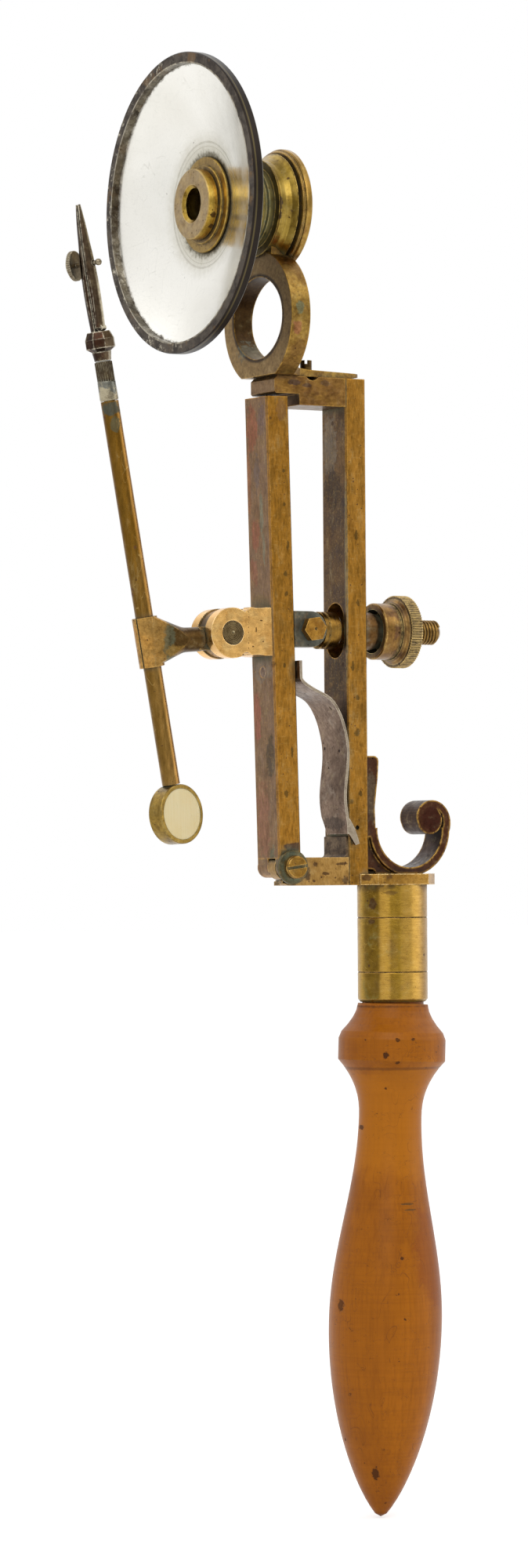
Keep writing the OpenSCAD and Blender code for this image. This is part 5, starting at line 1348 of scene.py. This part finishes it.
class MICROSCOPE_OT_forceps(PieceOperator, bpy.types.Operator):
    """Forceps: dark steel rubbed bright on the edges with painted highlights, faceted knop with painted
    light and shade on its facets, white metal socket, knurled button
    """
    bl_idname = "microscope.forceps"
    bl_label = "Forceps"

    def execute(self, context):
        f = Finish("forceps steel", "4A3A2A", 0.3)
        f.patches("362A22", 0.9, high=0.6, over=(1, 1, 0.4))
        f.patches("54301E", 0.6, scale=0.35, low=0.56, high=0.68, over=(1, 1, 0.5), place=(2, 7, 0))
        # By facing: painted shade on the left facets, a lighter front, a painted highlight on the right
        # facets
        f.facing((-0.95, -0.2, 0.1), "2E1E18", 0.8, low=0.5, cloud=0.5)
        f.facing((0.1, -0.98, 0.1), "6E5C46", 0.6, low=0.8, high=0.97, cloud=0.4)
        f.facing((0.8, -0.6, 0.1), "EEE4CA", 0.9, low=0.72, high=0.97, cloud=0.35, rough=0.2)
        f.grain("2A2018", 0.45, scale=2.4, over=(1, 1, 0.5), height=0.005)
        f.pits("2A1A12", 0.85, scale=1.3, cover=0.45, height=-0.03)
        f.mottle()
        f.dirt_and_shade("1E1611", 0.7, distance=0.5, gain=1.4)
        # Bright edges: rubbed steel with painted highlights
        f.edges("E4DAC0", 1.0, radius=0.24, gain=7.0)
        f.polish(0.22, 0.4, 1.6)
        f.done("forceps_body", "forceps_jaw", soften=0.1)

        low = extent("forceps_socket")[0]
        f = Finish("socket metal", "AEA48A", 0.26)
        s = f.sheet
        up = s.part(f.mm, 2)
        fluted = s.ramp(up, low.z + 2.75, low.z + 2.95)
        f.patches("6E706A", 0.9, scale=0.45, low=0.5, high=0.56, detail=3.0, place=(1, 1, 4))
        f.paint(fluted, "3E3020", 1.0, rough=0.36)
        f.paint(s.ramp(s.gap(up, low.z + 2.8), 0.2, 0.08), "2A2216", 0.8)
        f.grain("4A4030", 0.35, scale=2.4)
        f.mottle()
        f.dirt_and_shade("2A2216", 0.85, distance=0.35, gain=2.0)
        f.edges("D8CEB0", 0.6, radius=0.1)
        f.done("forceps_socket", soften=0.05)

        f = Finish("button metal", "9C9078", 0.3)
        f.patches("6A5C48", 0.8, scale=0.6, low=0.42, high=0.6)
        f.grain("3E3428", 0.4)
        f.mottle()
        f.dirt_and_shade("2A2018", 0.9, distance=0.4, gain=2.0)
        f.edges("DDD2B4", 0.9, radius=0.1)
        f.done("forceps_button", soften=0.04)
        return {"FINISHED"}


def area_lamp(name, place, target, width, height, power):
    """A large soft lamp"""
    data = bpy.data.lights.new(name, "AREA")
    data.shape = "RECTANGLE"
    data.size, data.size_y, data.energy = width, height, power
    lamp = new_object(name, data)
    lamp.location = place
    lamp.rotation_euler = (Vector(target) - Vector(place)).to_track_quat("-Z", "Y").to_euler()


class MICROSCOPE_OT_stage(bpy.types.Operator):
    """Floor, room, lamps and the camera"""
    bl_idname = "microscope.stage"
    bl_label = "Stage"

    def execute(self, context):
        settings = context.scene.microscope_stage
        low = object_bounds()[0]
        mesh = bpy.data.meshes.new("floor")
        made = bmesh.new()
        bmesh.ops.create_grid(made, x_segments=1, y_segments=1, size=FLOOR_REACH)
        bmesh.ops.translate(made, verts=made.verts, vec=(0, 0, low.z - FLOOR_GAP))
        made.to_mesh(mesh)
        made.free()
        floor = new_object("floor", mesh)
        material = bpy.data.materials.new("pale floor")
        material.use_nodes = True
        s = Sheet(material.node_tree)
        shader = material.node_tree.nodes["Principled BSDF"]
        shader.inputs["Base Color"].default_value = FLOOR_GREY
        shader.inputs["Roughness"].default_value = 0.9
        shader.inputs["Specular IOR Level"].default_value = 0.0
        seen = self.seen(s)
        shader.inputs["Emission Color"].default_value = (1, 1, 1, 1)
        s.feed(s.times(seen, FLOOR_GLOW), shader.inputs["Emission Strength"])
        mesh.materials.append(material)
        floor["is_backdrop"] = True
        self.room(context, settings)
        area_lamp("key lamp", (-0.6, -0.9, 0.75), (0, 0, 0.03), 0.8, 0.8, settings.key)
        area_lamp("fill lamp", (0.8, -0.5, 0.3), (0, 0, 0.03), 0.8, 1.3, settings.fill)
        self.camera(context, settings)
        context.scene.view_settings.view_transform = "Standard"
        return {"FINISHED"}

    def room(self, context, settings):
        """White all round for the eye and glass, and dimmer behind the camera in what metal mirrors"""
        world = bpy.data.worlds.new("room")
        context.scene.world = world
        world.use_nodes = True
        s = Sheet(world.node_tree)
        back = world.node_tree.nodes["Background"]
        way = s.add("ShaderNodeTexCoord").outputs["Generated"]
        ahead = (math.sin(settings.azimuth), math.cos(settings.azimuth), 0.0)
        left = (-math.cos(settings.azimuth), math.sin(settings.azimuth), 0.0)
        levels = []
        for direction, dark, light in ((ahead, -0.45, 0.25), (left, 0.1, 0.8)):
            dot = s.dot(way, direction)
            levels.append(s.ramp(dot, dark, light, settings.room, 1.0))
        mirrored = s.math("MAXIMUM", *levels)
        up = s.part(way, 2)
        panel = s.times(s.ramp(up, 0.35, 0.6), s.ramp(up, 0.97, 0.8))
        mirrored = s.between(panel, mirrored, settings.ceiling)
        path = s.add("ShaderNodeLightPath").outputs
        level = s.between(path["Is Glossy Ray"], settings.sky, mirrored)
        direct = s.math("ADD", path["Is Camera Ray"], path["Is Transmission Ray"], True)
        level = s.between(direct, level, 1.0)
        s.feed(level, back.inputs["Strength"])
        back.inputs["Color"].default_value = (1, 1, 1, 1)

    @staticmethod
    def seen(s):
        """1 for rays that see the floor itself, in a mirror, or through glass"""
        path = s.add("ShaderNodeLightPath").outputs
        mirrored = s.math("ADD", path["Is Camera Ray"], path["Is Glossy Ray"], True)
        return s.math("ADD", mirrored, path["Is Transmission Ray"], True)

    @staticmethod
    def camera(context, settings):
        """The camera, as the picture was taken"""
        data = bpy.data.cameras.new("camera")
        data.lens = settings.lens
        data.sensor_width = 36.0
        data.clip_start, data.clip_end = 0.01, 20.0
        camera = new_object("camera", data)
        turn, tilt, roll = settings.azimuth, settings.pitch, settings.roll
        ahead = Vector((math.sin(turn) * math.cos(tilt), math.cos(turn) * math.cos(tilt), math.sin(tilt)))
        right = Vector((math.cos(turn), -math.sin(turn), 0))
        up = right.cross(ahead)
        side = math.cos(roll) * right - math.sin(roll) * up
        top = math.sin(roll) * right + math.cos(roll) * up
        rows = Matrix((side, top, -ahead)).transposed().to_4x4()
        camera.matrix_world = Matrix.Translation(settings.eye) @ rows
        context.scene.camera = camera


OPERATORS = (
    MICROSCOPE_OT_handle,
    MICROSCOPE_OT_ferrule,
    MICROSCOPE_OT_plate,
    MICROSCOPE_OT_scroll,
    MICROSCOPE_OT_frame_bars,
    MICROSCOPE_OT_limb,
    MICROSCOPE_OT_hinge,
    MICROSCOPE_OT_spring,
    MICROSCOPE_OT_carrier,
    MICROSCOPE_OT_barrel,
    MICROSCOPE_OT_reflector,
    MICROSCOPE_OT_nose,
    MICROSCOPE_OT_focusing,
    MICROSCOPE_OT_nut,
    MICROSCOPE_OT_compass_joint,
    MICROSCOPE_OT_specimen_arm,
    MICROSCOPE_OT_specimen_rod,
    MICROSCOPE_OT_discs,
    MICROSCOPE_OT_forceps,
    MICROSCOPE_OT_stage,
)
SETTINGS = {
    "microscope_finish": MicroscopeFinish,
    "microscope_thread": MicroscopeThread,
    "microscope_stage": MicroscopeStage,
}


class MICROSCOPE_PT_sidebar(bpy.types.Panel):
    """Sizes, colours and the steps that build the microscope's looks"""
    bl_label = "Compass microscope"
    bl_space_type = "VIEW_3D"
    bl_region_type = "UI"
    bl_category = "Microscope"

    def draw(self, context):
        for name, kind in SETTINGS.items():
            column = self.layout.column()
            for key in kind.__annotations__:
                column.prop(getattr(context.scene, name), key)
        for operator in OPERATORS:
            self.layout.operator(operator.bl_idname)


CLASSES = (*SETTINGS.values(), *OPERATORS, MICROSCOPE_PT_sidebar)


def register():
    """Makes the classes and the scene's settings known"""
    for made in CLASSES:
        bpy.utils.register_class(made)
    for name, kind in SETTINGS.items():
        setattr(bpy.types.Scene, name, PointerProperty(type=kind))


def unregister():
    """Takes the classes and settings away"""
    for name in SETTINGS:
        delattr(bpy.types.Scene, name)
    for made in reversed(CLASSES):
        bpy.utils.unregister_class(made)


def main():
    """Builds everything in order"""
    register()
    build_groups()
    for operator in OPERATORS:
        area, name = operator.bl_idname.split(".")
        getattr(getattr(bpy.ops, area), name)()


if __name__ == "__main__":
    main()
